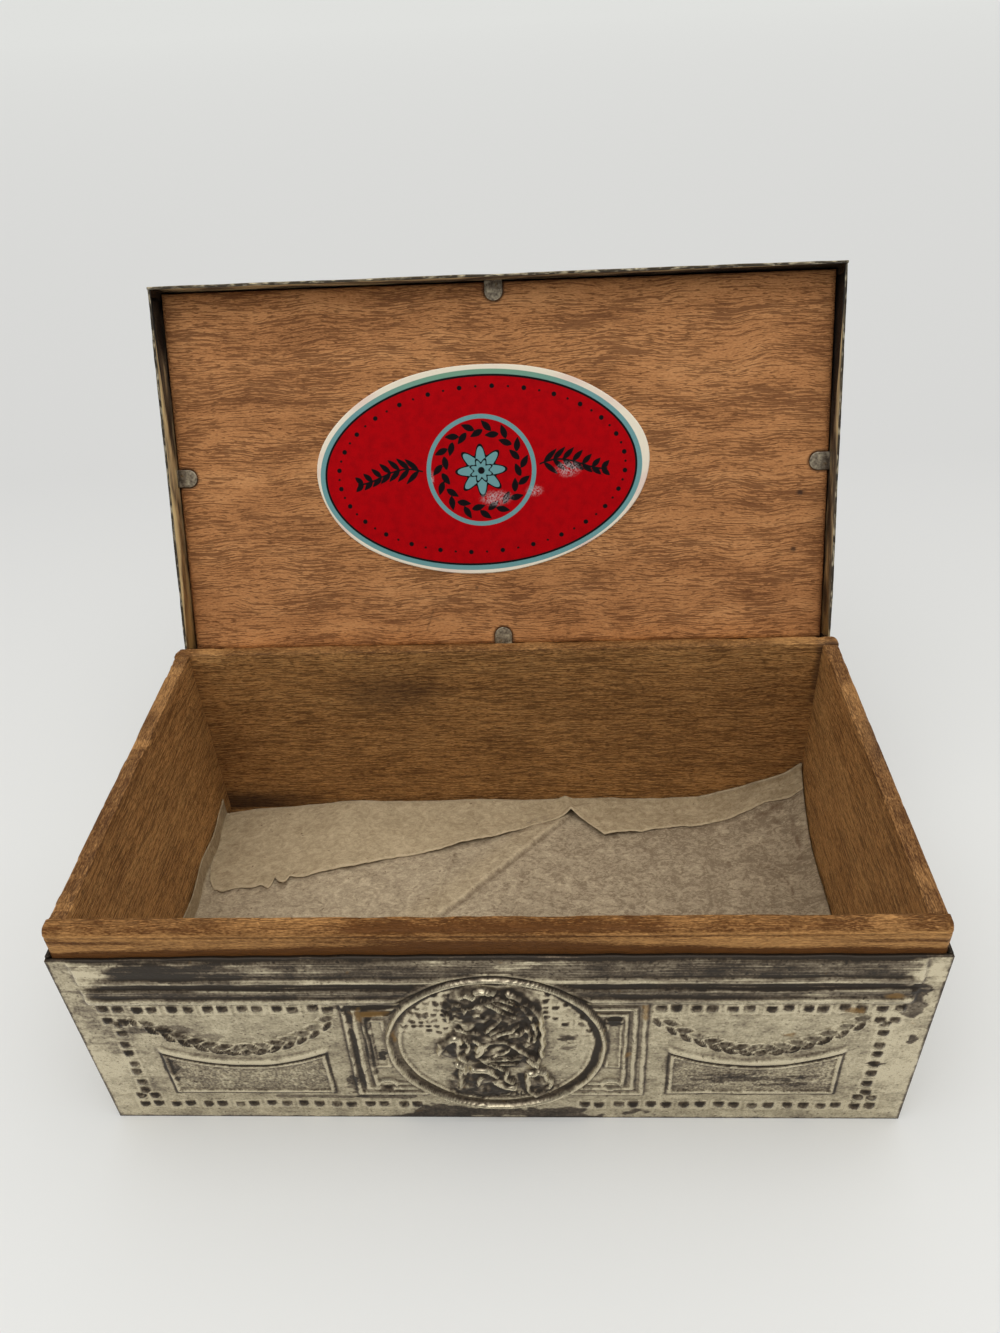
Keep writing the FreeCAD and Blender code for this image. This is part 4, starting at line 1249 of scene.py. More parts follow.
@dataclass
class MetalBody:
    """The four embossed walls.

    Patches are ovals (u, v, half u, half v, strength), and rust spots are such ovals without a strength. A
    pilaster is its half width, foot and top. Beads are where the upper and lower row start from the middle.
    """

    half_width: float
    half_depth: float
    inner_half_depth: float
    height: float
    sheet: float
    highest: float = 1.74
    pilaster: tuple = (27.0, 8.2, 37.2)
    long_beads: Point = (27.4, 14.4)
    short_beads: Point = (0.0, 0.0)
    swag_centre: float = 46.9
    long_swag: float = 18.2
    short_swag: float = 22.0
    long_cartouche: float = 15.6
    short_cartouche: float = 21.0
    finish: PlatedFinish = PlatedFinish()
    front_patches: tuple = (
        (-54, 45.8, 8, 3.2, 0.34), (-60, 47.4, 4, 1.6, 0.3), (-67, 47.2, 5, 1.4, -0.35),
        (-38, 47, 7, 1.2, -0.25), (-1.5, 1.6, 19, 2.6, 0.62), (-62, 29.2, 5, 1.7, 0.3),
        (-55, 26.6, 4, 1.2, 0.2), (72.3, 38.4, 1.7, 5.6, 0.6), (-70, 32, 5, 9, 0.22), (-67, 12, 6, 4, 0.1),
        (-52, 40, 14, 1.6, 0.12), (4, 47.6, 4, 0.9, -0.35), (72.6, 20, 4, 15, -0.14),
        (73.6, 45.4, 3, 3.6, -0.3), (-72.4, 16, 4, 12, -0.12), (58, 47.8, 12, 0.5, -0.2),
        (44, 46.2, 27, 2.2, 0.09), (-25.9, 22, 0.8, 15, 0.5), (-22.9, 25, 0.9, 8.5, 0.5),
        (-21.5, 36.0, 6, 0.8, 0.55), (-22, 7, 6, 1.0, 0.5), (-61.5, 16.5, 1.2, 4.0, 0.45),
        (-36, 7.2, 12, 0.6, 0.4))
    front_flecks: tuple = (
        (-18.5, 34.3, 1.3, 0.8, 0.8), (-21, 21, 0.7, 1.6, 0.8), (-21.5, 10, 1.4, 1.2, 0.7),
        (-27.6, 11.5, 1.2, 2.4, 0.5), (21.2, 31.5, 1.1, 1.7, 0.75), (12.8, 26.5, 1.9, 0.6, 0.6),
        (12.5, 23.6, 1.6, 0.5, 0.35), (68.8, 18.4, 1.6, 0.3, 0.7), (73.6, 26, 0.6, 1.4, 0.7),
        (48, 40.9, 9, 0.5, 0.4), (64, 41.4, 7, 0.6, 0.35), (36, 41.0, 1.0, 0.5, 0.5),
        (47, 13.2, 8, 0.9, 0.4), (54, 11.8, 6, 0.5, 0.4), (42, 14.6, 4, 0.7, 0.35),
        (56, 14.4, 4, 0.4, 0.35))
    front_rust: tuple = (
        (-21.5, 34, 2.6, 0.9), (26.6, 34.6, 0.6, 2.4), (23.8, 21.3, 0.5, 0.8), (62, 34.6, 1.2, 0.7),
        (52, 27.4, 1.0, 0.7), (-18.2, 26, 0.5, 2.4), (-24, 33.4, 0.6, 2.0), (68.5, 39.2, 1.6, 0.8))
    left_smear: tuple = (10, 44, 16, 3, 0.35)
    right_smear: tuple = (-14, 44, 16, 3, 0.35)
    short_patches: tuple = ((-20, 20, 9, 6, 0.2), (0, 2, 18, 1.8, 0.5))

    def build(self) -> None:
        """Builds each wall in turn; the back is flat behind the hinge's leaf."""
        hinge = node_span("hinge_base_leaf")
        for side in Side:
            relief = (self.long_pattern(side) if side.long else self.short_pattern(side)).relief
            if side is Side.BACK:
                room = ramp(relief.grid_v, hinge.low[2] - 0.3, hinge.low[2] - 0.6)
                relief.rise *= np.where(np.abs(relief.grid_u) < hinge.high[0] + 0.5, room, 1)
            wavy = relief.grid_v + self.bow(relief, side)
            front = np.stack([relief.grid_u, wavy, np.minimum(relief.rise, self.highest)], -1)
            distance = self.half_depth if side.long else self.half_width
            surface = slab(front, -self.sheet, side.facing(distance, 0), **relief.values())
            name = f"{side.label}_wall"
            add_piece(name, surface, self.finish, "base", "plated_wall", f"{side.label}_panel")

    def bow(self, relief: Relief, side: Side) -> Array:
        """Upper edge that dips towards the ends of a long wall, with small dents."""
        share = relief.grid_u / self.half_width
        dip = (np.where(share < 0, 0.65, 0.35) * share ** 2) if side.long else 0.2
        dents = 0.06 * relief.noise(1.5, 40, 51)
        return -(dip + 0.08 + dents) * ramp(relief.grid_v, self.height * 0.8, self.height)

    def long_pattern(self, side: Side) -> WallPattern:
        """Front or back: medallion, pilasters, swags and cartouches, and the front's own wear."""
        pattern = WallPattern(self.half_width * 2, self.height)
        pattern.mouldings()
        pattern.medallion()
        pattern.pilasters(*self.pilaster)
        pattern.beads(*self.long_beads)
        for centre in (-self.swag_centre, self.swag_centre):
            pattern.cartouche(centre, self.long_cartouche)
            pattern.swag(centre, self.long_swag)
        pattern.putto()
        pattern.edges()
        if side is Side.FRONT:
            pattern.patches(self.front_patches)
            pattern.patches(self.front_flecks, 0.8)
            pattern.rust(self.front_rust)
        return pattern

    def short_pattern(self, side: Side) -> WallPattern:
        """Left or right: one swag over one wide cartouche."""
        pattern = WallPattern(self.inner_half_depth * 2, self.height)
        pattern.mouldings()
        pattern.beads(*self.short_beads)
        pattern.cartouche(0, self.short_cartouche)
        pattern.swag(0, self.short_swag)
        pattern.edges()
        smear = self.left_smear if side is Side.LEFT else self.right_smear
        pattern.patches((smear, *self.short_patches))
        return pattern


# Wooden lining

@dataclass
class Lining:
    """The four upright boards, whose tops stand above the metal as a worn collar, and the bottom board."""

    sheet: float
    metal_height: float
    collar_top: float
    inset: float = 0.06
    edge_round: float = 0.8
    corner_round: float = 1.2
    groove_depth: float = 0.14
    groove_place: float = 1.4
    groove_half: float = 0.35
    inner_edge: float = 0.12
    inner_rows: int = 24
    bottom_counts: tuple = (90, 50)
    long_count: int = 360
    short_count: int = 200
    finish: WoodFinish = WoodFinish(
        "worn_collar_wood", shade(214, 168, 106), shade(188, 138, 82), shade(98, 60, 24), shade(76, 47, 24),
        figure=0.26, sway=2.5, pore_share=0.7, fineness=1.5, crowding=0.16, density=0.018)

    def build(self) -> None:
        """Builds the boards."""
        for side in Side:
            name = f"{side.label}_board"
            surface = self.board(side, node_span(name))
            add_piece(f"{side.label}_lining", surface, self.finish, "base", "collar_wood", name)
        self.bottom()

    def section(self) -> tuple[Array, Array, Array]:
        """Outline of a board across its thickness.

        It goes up the outer face, over a shoulder to the collar and round its outer top edge.

        Returns:
            Depths in from the outer face in millimetres, heights, and whether the collar is there.
        """
        top, step = self.collar_top, self.metal_height
        turn = np.linspace(0, math.pi / 2, 7)
        face = np.linspace(step, top - self.edge_round, 22)[1:]
        groove = self.groove_depth * round_top(face - (top - self.groove_place), self.groove_half)
        depth = np.concatenate([[0, 0, 0, 0], self.inset + groove,
                                self.inset + self.edge_round * (1 - np.cos(turn)) + 0.1])
        height = np.concatenate([[self.sheet, step * 0.4, step * 0.8, step - 0.01], face,
                                 top - self.edge_round * (1 - np.sin(turn))])
        return depth, height, height > step - 0.02

    def board(self, side: Side, span: Span) -> Surface:
        """One board: its section is carried along it, and at the collar's ends the outer face rounds inwards.

        Args:
            side: Side of the box.
            span: Corners of the node that it stands for.

        Returns:
            The closed board.
        """
        across, along_axis = (1, 0) if side.long else (0, 1)
        half = span.high[along_axis]
        outer = span.high[across] - span.low[across]
        depth, height, collar = self.section()
        inner_height = np.linspace(self.collar_top - self.inner_edge, self.sheet, self.inner_rows)
        depth = np.concatenate([depth, [outer - self.inner_edge], np.full(self.inner_rows, outer)])
        height = np.concatenate([height, [self.collar_top], inner_height])
        collar = np.concatenate([collar, [True], inner_height > self.metal_height])
        count = self.long_count if side.long else self.short_count
        share = np.sin(np.linspace(-math.pi / 2, math.pi / 2, count))[:, None]
        reach = half - np.where(collar, self.inset, 0)[None, :] * side.long
        along = share * reach
        short_of = np.clip(self.corner_round - reach + np.abs(along), 0, self.corner_round)
        bend = self.corner_round - np.sqrt(np.clip(self.corner_round ** 2 - short_of ** 2, 0, None))
        inwards = np.where(collar & (depth < outer - 0.2), 1, 0)[None, :] * bend * side.long
        depth_grid = np.minimum(depth[None, :] + inwards, outer - 0.15 * (depth < outer - 0.1))
        height_grid = np.broadcast_to(height[None, :], depth_grid.shape).copy()
        height_grid -= np.where(height > self.collar_top - 1.0, 1, 0)[None, :] * self.wear(along, half, side)
        rings = np.stack([along, height_grid, -depth_grid], -1)
        on_collar = ramp(height_grid, self.metal_height - 1, self.metal_height)
        values = {
            "soil": self.soil(along, height_grid, depth_grid, side),
            "stain": self.stain(along, height_grid, depth_grid, side),
            "polish": ramp(depth_grid, 1.8, 0.9) * on_collar,
        }
        distance = max(abs(span.low[across]), abs(span.high[across]))
        turned = {label: value[:, ::-1] for label, value in values.items()}
        return tube(rings[:, ::-1], side.facing(distance, 0), **turned)

    def wear(self, along: Array, half: float, side: Side) -> Array:
        """How much of the collar's top is worn away: nicks, chips and rubbed ends."""
        shape = (len(along), 1)
        nicks = mottle(shape, 5, 0.1, 61 + len(side.name))
        chips = mottle(shape, 1.6, 0.1, 66 + len(side.name))
        chipped = np.clip(chips - 0.9, 0, 1) * (0.1 if side.long else 0.3)
        rubbed = 0.15 * (1 - ramp(half - np.abs(along), 0, 0.5))
        return np.clip(np.abs(nicks) - 0.9, 0, 1) * 0.22 + 0.05 + chipped + rubbed

    def on_top(self, height: Array) -> Array:
        """Share of a place that belongs to the collar's top edge."""
        return ramp(height, self.collar_top - 0.9, self.collar_top - 0.2)

    def soil(self, along: Array, height: Array, depth: Array, side: Side) -> Array:
        """Darkening: painted shade towards the metal along the joint, streaks and a line along the collar,
        painted shade down inside the long boards and painted light inside the short ones, the top edge, and
        the front towards its middle; less where the top is rubbed.
        """
        outside = depth < 1.5
        seed = 63 + len(side.name)
        waver = mottle(along.shape, 14, 0.1, seed)[:, :1]
        patchy = ramp(mottle(along.shape, 22, 0.1, seed + 1)[:, :1], -0.8, 0.9)
        middle = 0.55 + 0.45 * np.exp(-(along / 45) ** 2)
        rising = 1.0 + 2.6 * np.exp(-(along / 55) ** 2) + 0.4 * waver
        # Towards the metal the collar is painted darker, most in the middle: painted shade along the joint.
        beside = 1.5 * middle * ramp(height, self.metal_height + rising, self.metal_height + 0.2) * outside
        streak = ramp(np.abs(height - self.collar_top + 2.5 + 0.3 * waver), 0.7, 0.15) * patchy * outside
        quirk = ramp(np.abs(height - self.collar_top + 1.3), 0.45, 0.1) * (1 - 0.5 * patchy) * outside
        # Down inside, the long boards are painted darker (painted shade) and the short ones a little lighter
        # (painted light).
        inside_shading = (depth > 3) * ramp(height, self.collar_top + 1, self.collar_top - 14)
        inside = (0.14 if side.long else -0.06) * inside_shading
        top = self.on_top(height)
        rubbed = 0.3 * top * ramp(mottle(along.shape, 9, 0.1, seed + 2)[:, :1], 0.2, 1.2)
        smeared = (0.05 + 0.5 * np.exp(-(along / 42) ** 2) * (0.5 + 0.5 * patchy)) * (side is Side.FRONT)
        return beside + 0.5 * streak + 0.35 * quirk + inside + 0.5 * top - rubbed + smeared * outside

    def stain(self, along: Array, height: Array, depth: Array, side: Side) -> Array:
        """Smudges on the back board and in its corner, grey tops of the side boards, a smear at right."""
        if not side.long:
            worn = 0.2 * self.on_top(height)
            reach = oval_reach(along, depth, 4, 0.4, 13, 1.1)
            smear = 0.5 * ramp(reach, 1.2, 0.4) * ramp(height, self.collar_top - 1.5, self.collar_top - 0.8)
            return np.maximum(worn, smear * (side is Side.RIGHT))
        if side is Side.FRONT:
            return np.zeros_like(height)
        inner = depth > 3
        smudge = 0.48 * ramp(oval_reach(along, height, 26, 43, 15, 7), 1.2, 0.1)
        residue = 0.75 * ramp(along, 44, 66) * ramp(height, 13.5, 10.5)
        corner = 0.6 * ramp(along, -70, -71.6) * ramp(height, 30, 50)
        return (smudge + residue + corner) * inner

    def bottom(self) -> None:
        """Bottom board: a slab with softened edges."""
        span = node_span("bottom_board")
        half = span.high[:2]
        u, v = level_grid(half, *self.bottom_counts)
        edge = np.minimum(half[0] - np.abs(u), half[1] - np.abs(v))
        front = np.stack([u, v, -0.25 * ramp(edge, 1.0, 0.0)], -1)
        place = Facing((0, 0, span.high[2]), EAST, NORTH, UP)
        surface = slab(front, span.low[2] - span.high[2], place, soil=0.3 + 0 * u, stain=0 * u)
        add_piece("bottom_lining", surface, self.finish, "base", "collar_wood", "bottom_board")


# Tissue

@dataclass(frozen=True)
class TissueRows:
    """Places y of the tissue's rows on the floor, round the bend and along the flap.

    Each column also has its place u, how far it climbs the wall and the length of its flap.
    """

    u: Array
    climb: Array
    length: Array
    floor: Array
    bend: Array
    flap: Array
    flap_share: Array


@dataclass
class Tissue:
    """Sheet of tissue on the bottom board, folded forwards along its rear edge and turned up at its left.

    Fold places and flap lengths are stations along x. The corner is where its lift starts and ends along x,
    and its rise. Spots are ovals (x, y, half x, half y, darkness).
    """

    paper: float = 0.12
    gap: float = 0.35
    turn_up: float = 5.2
    turned_flap: float = 0.8
    fold_radius: float = 0.8
    columns: int = 300
    floor_rows: int = 112
    bend_rows: int = 8
    flap_rows: int = 41
    corner: tuple = (47.0, 72.0, 10.0)
    pleat_foot: Point = (15.5, 32.5)
    pleat_run: Point = (-25.5, -26.5)
    crease_place: Point = (-14.4, 13.0)
    crease_slope: float = 0.17
    pinch_runs: tuple = (((15.8, 32.6), (13.6, 38.0)), ((15.8, 32.6), (23.0, 35.2)))
    pinch_rise: float = 1.5
    pinch_half: float = 2.6
    fold_places: tuple = ((-72, 33.8), (-41, 36.9), (14, 37.3), (53, 37.2), (72, 36.8))
    flap_lengths: tuple = (
        (-71.5, 16.5), (-70.5, 21.5), (-69, 24.6), (-66.5, 25.8), (-63.5, 24.8), (-60, 25.2), (-58, 24.4),
        (-55.6, 25.9), (-55.0, 22.6), (-53.6, 24.8), (-52.2, 25.6), (-51.4, 22.9), (-48, 23.4), (-22, 16.8),
        (-7, 13.0), (12, 6.4), (15.5, 4.6), (17.4, 6.0), (20.4, 8.8), (23.4, 11.4), (30, 10.4), (43, 8.4),
        (56, 7.0), (64, 6.2), (69, 7.0), (72, 6.0))
    spots: tuple = (
        (68.5, 27, 1.0, 2.6, 0.7), (66, 31, 2.4, 1.0, 0.55), (62, 29.6, 2.0, 0.8, 0.4),
        (64.5, 27.6, 1.4, 0.8, 0.4), (69, 21.5, 0.8, 1.8, 0.65), (68.6, 17.5, 0.7, 0.7, 0.5),
        (52, 16.5, 0.5, 0.4, 0.6), (-33.5, 3, 1.2, 0.4, 0.5), (58, 28.4, 1.4, 0.6, 0.3),
        (33, 21, 0.4, 0.4, 0.5), (20.5, 14, 0.4, 0.3, 0.5))
    finish: TissueFinish = TissueFinish()

    def build(self) -> None:
        floor = node_span("bottom_board")
        half_width, half_depth = floor.high[0] - self.gap, floor.high[1] - self.gap
        flat_u = np.linspace(-half_width - self.turn_up, half_width, self.columns)[:, None]
        u = np.maximum(flat_u, -half_width)
        climb = np.maximum(-half_width - flat_u, 0)
        fold = np.minimum(self.follow(self.fold_places, u), half_depth - self.fold_radius)
        edge = (self.columns, 1)
        ragged = 0.14 * mottle(edge, 3.4, 0.1, 71) + 0.07 * mottle(edge, 0.6, 0.1, 73)
        length = np.where(climb > 0, self.turned_flap, self.follow(self.flap_lengths, u) + ragged)
        y_floor = -half_depth + (fold + half_depth) * np.linspace(0, 1, self.floor_rows)[None, :]
        z_floor = self.lie(u + 0 * y_floor, y_floor)
        radius = self.fold_radius * (0.4 + 0.6 * ramp(u, -74, -60))
        angle = np.linspace(0, 1, self.bend_rows)[None, 1:] * math.pi
        y_bend = fold + radius * np.sin(angle)
        z_bend = z_floor[:, -1:] + radius * (1 - np.cos(angle))
        flap_share = np.linspace(0, 1, self.flap_rows)[None, 1:]
        reach = flap_share * length
        steep = 1 - 0.35 * ramp(u, 50, 68)
        y_flap = y_bend[:, -1:] - reach * steep
        rows = TissueRows(u, climb, length, y_floor, y_bend, y_flap, flap_share)
        z_flap = self.flap_height(rows, z_bend[:, -1:])
        y = np.minimum(np.concatenate([y_floor, y_bend, y_flap], 1), half_depth)
        crumple = 0.1 - 0.12 * np.abs(mottle(y.shape, 5.4, 4.6, 72)) + 0.05 * mottle(y.shape, 1.5, 1.3, 74)
        z = np.concatenate([z_floor, z_bend, z_flap], 1) + crumple + climb * (0.75 + 0.25 * ramp(y, -30, 20))
        x = np.broadcast_to(u, y.shape) + 0.25 * np.sin(y * 0.35) * (climb > 0)
        flat_v = np.concatenate([y_floor, y_bend, fold + 1.5 + reach], 1)
        place = np.stack([np.broadcast_to(flat_u, y.shape), flat_v, 0 * y], -1)
        points = np.stack([x, y, z], -1).reshape(-1, 3)
        values = {"place": place.reshape(-1, 3), **self.shades(rows, x, y)}
        surface = Surface(points, grid_quads(*y.shape), NO_TRIANGLES, values)
        piece = add_piece("folded_tissue", surface, self.finish, "base", "tissue", "tissue_paper")
        thick = piece.modifiers.new("paper", "SOLIDIFY")
        thick.thickness = self.paper * METRES
        thick.offset = 0

    def flap_height(self, rows: TissueRows, start: Array) -> Array:
        """Height of the flap: it sinks from the bend until it lies on the sheet, and rises at pinch and nick.

        Args:
            rows: Rows of the sheet.
            start: Height at the end of the bend.

        Returns:
            Heights of the flap's rows.
        """
        u, share = rows.u, rows.flap_share
        x = u + 0 * rows.flap
        sink = 0.045 + 2.0 * ramp(u, 30, 60)
        lowered = start - share * rows.length * sink - 0.5 * np.sin(math.pi * share)
        laid = np.maximum(lowered, self.lie(x, rows.flap) + 0.3)
        nick = 1.1 * np.exp(-((u + 53.0) / 1.3) ** 2) * ramp(share, 0.88, 1.0)
        return laid + self.pinch(x, rows.flap) + nick

    def shades(self, rows: TissueRows, x: Array, y: Array) -> dict[str, Array]:
        """Per-point shares: how double the paper is, how much it catches the light (painted highlight), and
        its stains with painted shade and shadow.
        """
        floor = rows.floor
        layer = np.concatenate([0 * floor, 0 * rows.bend + 0.6, 0 * rows.flap + 1.0], 1)
        strip = self.pleat(x, y)
        layer = np.maximum(layer, 0.6 * ramp(strip, 0, 0.3) * ramp(strip, 9, 3) * (y < 33))
        # The turned-up strip at the left counts as double, so that it comes out lighter: painted light.
        layer = np.maximum(layer, 0.9 * (rows.climb > 0))
        lit_strip = ramp(np.abs(self.pleat(rows.u + 0 * floor, floor) - 0.5), 0.5, 0.2)
        lit_strip *= floor < self.pleat_foot[1]
        lit_edge = ramp((1 - rows.flap_share) * rows.length, 0.9, 0.3)
        lit = np.concatenate([0.7 * lit_strip, 0 * rows.bend + 0.5, lit_edge], 1)
        stain = self.stains(x, y) * (layer < 0.95)
        # A thin dark line just beyond the flap's free edge: painted shadow.
        below = rows.flap[:, -1:] - floor
        cast = 0.3 * ramp(np.abs(below - 0.35), 0.6, 0.15) * (rows.climb == 0)
        stain[:, :cast.shape[1]] = np.maximum(stain[:, :cast.shape[1]], cast)
        return {"layer": layer.ravel(), "lit": lit.ravel(), "stain": stain.ravel()}

    def follow(self, stations: tuple, u: Array) -> Array:
        """Value that runs straight from station to station along u."""
        places, values = zip(*stations)
        return np.interp(u, places, values)

    def pleat(self, x: Array, y: Array) -> Array:
        """Distance to the left of the crease that runs from the pinch to the front."""
        run = np.array(self.pleat_run) / np.hypot(*self.pleat_run)
        return (x - self.pleat_foot[0]) * run[1] - (y - self.pleat_foot[1]) * run[0]

    def off_crease(self, x: Array, y: Array) -> Array:
        """Distance along x to the right of the thin crease in the front half."""
        return x - self.crease_place[0] - (y - self.crease_place[1]) * self.crease_slope

    def pinch(self, x: Array, y: Array) -> Array:
        """Rise of the flap where it is pinched: two sharp ridges that meet, each a tent over a run."""
        distance = np.min([run_reach(x, y, start, end) for start, end in self.pinch_runs], axis=0)
        return self.pinch_rise * np.clip(1 - distance / self.pinch_half, 0, 1)

    def lie(self, x: Array, y: Array) -> Array:
        """Height of the sheet: swells, a pleat's step, a thin crease, a lifted right edge and rear corner."""
        level = node_span("bottom_board").high[2] + self.paper + 0.15
        swell = 0.18 * (np.sin(x * 0.21 + 0.4) * np.sin(y * 0.27 + 1.1) + 1)
        strip = self.pleat(x, y)
        step = ramp(strip, -0.12, 0.12) * ramp(strip, 10, 1.5) * ramp(y, 34.5, 31)
        crease = 0.5 * np.exp(-(self.off_crease(x, y) / 0.5) ** 2) * ramp(y, 23, 20)
        edge = 1.6 * ramp(x, 66, 71.6) ** 2
        start, end, rise = self.corner
        climb = np.clip((x - start) / (end - start), 0, 1) ** 1.15 * np.clip((y - 16) / 21, 0, 1) ** 1.8
        return level + swell + step + crease + edge + rise * climb

    def stains(self, x: Array, y: Array) -> Array:
        """Dark specks near the right wall, one curved hair line, and painted shade along the two creases."""
        specks = np.zeros_like(x)
        ragged = 0.3 * mottle(x.shape, 1.4, 1.3, 75)
        for *oval, dark in self.spots:
            specks = np.maximum(specks, dark * ramp(oval_reach(x, y, *oval) + ragged, 1.1, 0.4))
        hair = np.abs(oval_reach(x, y, 58, 8, 1.0, 1.15) - 7.0)
        specks = np.maximum(specks, 0.55 * ramp(hair, 0.32, 0.1) * (x > 59) * (y > 6.5))
        crease_shade = 0.36 * ramp(np.abs(self.pleat(x, y) + 0.25), 0.5, 0.1) * (y < self.pleat_foot[1])
        crease_shade += 0.22 * ramp(np.abs(self.off_crease(x, y) - 0.4), 0.55, 0.1) * (y < 22)
        return np.maximum(specks, crease_shade)


# Lid

@dataclass
class Lid:
    """Tray of plated sheet with its wooden panel, tabs, label and corner solder, laid out closed.

    Frames are (inset, width, rise). A leaf is (length, width, rise, darkness), a bead (half width, rise,
    darkness). Smudges are ovals (u, v, half u, half v, strength), marks are dots (u, v, radius, strength).
    """

    swing: Swing
    half_width: float
    half_depth: float
    sheet: float
    top_step: float = 0.375
    top_waver: float = 0.08
    top_highest: float = 0.98
    top_frames: tuple = ((7.0, 2.0, 0.95), (4.6, 0.8, 0.5), (10.2, 0.6, 0.45))
    oval_half: Point = (46.0, 26.0)
    oval_frames: tuple = ((0.2, 1.1, 0.8), (3.0, 0.8, 0.6))
    wreath_half: Point = (42.0, 22.0)
    wreath_leaves: int = 24
    wreath_lean: float = 0.45
    wreath_leaf: tuple = (5.2, 2.2, 0.85, 0.3)
    bead: tuple = (0.95, 0.7, 0.5)
    bead_row: Point = (66.0, 12.6)
    bead_column: Point = (63.4, 14.0)
    skirt_step: float = 0.22
    skirt_lines: Point = (7.1, 8.5)
    line_rise: float = 0.55
    line_half: float = 0.45
    skirt_highest: float = 0.58
    panel_spread: Point = (0.85, 0.6)
    panel_counts: tuple = (400, 220)
    pencil: Point = (-17.5, -35.0)
    pencil_reach: float = 2.6
    tab_trim: float = 0.9
    tab_foot: float = 0.5
    tab_counts: tuple = (8, 41, 17)
    solder_legs: Point = (1.5, 1.2)
    solder_hollow: float = 0.3
    solder_counts: tuple = (26, 22)
    plate: PlatedFinish = PlatedFinish()
    tab: PlatedFinish = PlatedFinish("dull_tab_plate", metal=0.35)
    tray: TrayFinish = TrayFinish()
    wood: WoodFinish = WoodFinish()
    pitch: PitchFinish = PitchFinish()
    smudges: tuple = (
        (-50, 29, 17, 5, 0.4), (-40, 22, 14, 6, 0.35), (-62, 20, 9, 5, 0.3), (28, 31, 24, 4, 0.25),
        (-12, -24, 26, 5, 0.25), (52, -22, 18, 6, 0.25), (-56, -14, 20, 6, 0.2), (58, 14, 12, 8, 0.2))
    marks: tuple = ((69, -7, 0.9, 0.8), (68, -20, 0.8, 0.7), (-6, -27.3, 0.45, 0.6))

    def build(self) -> None:
        """Builds the lid's pieces in turn."""
        self.top()
        self.skirts()
        self.panel()
        self.tabs()
        self.solder()
        Label(self.swing).build()

    def top(self) -> None:
        """Top sheet: bead border, moulded frame and an oval laurel wreath round a plain field."""
        depth = self.half_depth * 2
        middle = self.half_depth
        relief = Relief(self.half_width * 2, depth, self.top_step, self.top_waver)
        inside = np.minimum(self.half_width - np.abs(relief.grid_u), middle - np.abs(relief.grid_v - middle))
        oval = oval_inside(relief.u, relief.v - middle, *self.oval_half)
        for edge, frames in ((inside, self.top_frames), (oval, self.oval_frames)):
            for inset, width, rise in frames:
                relief.frame(edge - inset, width, rise)
        self.wreath(relief, middle)
        pitch, spacing = WallSizes.bead_pitch, WallSizes.bead_spacing
        (reach, low), (side, start) = self.bead_row, self.bead_column
        rows = [(u, v) for u in pair_places(-reach, reach, pitch, spacing) for v in (low, depth - low)]
        columns = [(u, v) for v in pair_places(start, depth - start, pitch, spacing) for u in (-side, side)]
        for u, v in rows + columns:
            relief.bead(u, v, *self.bead)
        relief.rise += 0.05 * relief.noise(4, 4, 81)
        relief.rise -= ramp(inside, 0.7, 0.0) * 0.3
        relief.stain += 0.12 * relief.noise(9, 6, 82) + 0.5 * ramp(inside, 0.8, 0.2)
        relief.rise = np.clip(relief.rise, -0.4, self.top_highest)
        face = node_span("lid_top_plate", self.swing).low[2] + self.sheet
        place = Facing((0, -self.half_depth, face), EAST, NORTH, UP, self.swing)
        front = np.stack([relief.grid_u, relief.grid_v, relief.rise], -1)
        surface = slab(front, -self.sheet, place, **relief.values())
        add_piece("lid_cover", surface, self.plate, "lid", "plated_lid", "lid_top_plate")

    def wreath(self, relief: Relief, middle: float) -> None:
        """Pairs of leaves along an oval, which climb both sides from its foot to its top."""
        half_u, half_v = self.wreath_half
        for side in (-1, 1):
            for index in range(self.wreath_leaves):
                turn = side * (math.pi / 2 - (index + 0.5) / self.wreath_leaves * math.pi)
                root = (side * half_u * math.cos(turn), middle + half_v * math.sin(turn) * side)
                heading = math.atan2(half_v * math.cos(turn) * side, -side * half_u * math.sin(turn))
                for lean in (-self.wreath_lean, self.wreath_lean):
                    relief.leaf(root, heading + lean, *self.wreath_leaf)

    def skirts(self) -> None:
        """Four skirts with two raised lines outside and a ragged rim."""
        for side in Side:
            name = f"lid_skirt_{side.label}"
            span = node_span(name, self.swing)
            half = span.high[0] if side.long else span.high[1]
            rim, tall = span.low[2], span.high[2] - span.low[2]
            relief = Relief(half * 2, tall, self.skirt_step)
            for level in self.skirt_lines:
                relief.lift(self.line_rise * round_top(relief.v - level, self.line_half))
            ragged = 0.09 * relief.noise(0.8, 40, 91 + len(side.name)) - 0.06
            relief.rise += 0.04 * relief.noise(3, 2, 92) - 0.12 * ramp(relief.v, 0.5, 0)
            lower = relief.grid_v - np.minimum(ragged, 0) * ramp(relief.grid_v, 1.5, 0)
            front = np.stack([relief.grid_u, lower, np.minimum(relief.rise, self.skirt_highest)], -1)
            distance = self.half_depth if side.long else self.half_width
            surface = slab(front, -self.sheet, side.facing(distance, rim, self.swing),
                           tarnish=relief.tarnish() + 0.25, pitch=self.blackened(side, relief))
            add_piece(f"tray_{side.label}", surface, self.tray, "lid", "plated_lid", name)

    def blackened(self, side: Side, relief: Relief) -> Array:
        """Black share of a skirt: the front one and its right end, and the free ends of the short ones."""
        end = relief.u.max()
        if side.long:
            spread = 0.5 * ramp(relief.u + 0.8 * relief.noise(1.5, 1.0, 94), end - 9, end - 6)
            return (0.16 + spread if side is Side.FRONT else 0.05) + 0 * relief.u
        free = relief.u if side is Side.LEFT else -relief.u
        return 0.5 * ramp(free, end - 9, end - 5) + 0.14 * (side is Side.RIGHT)

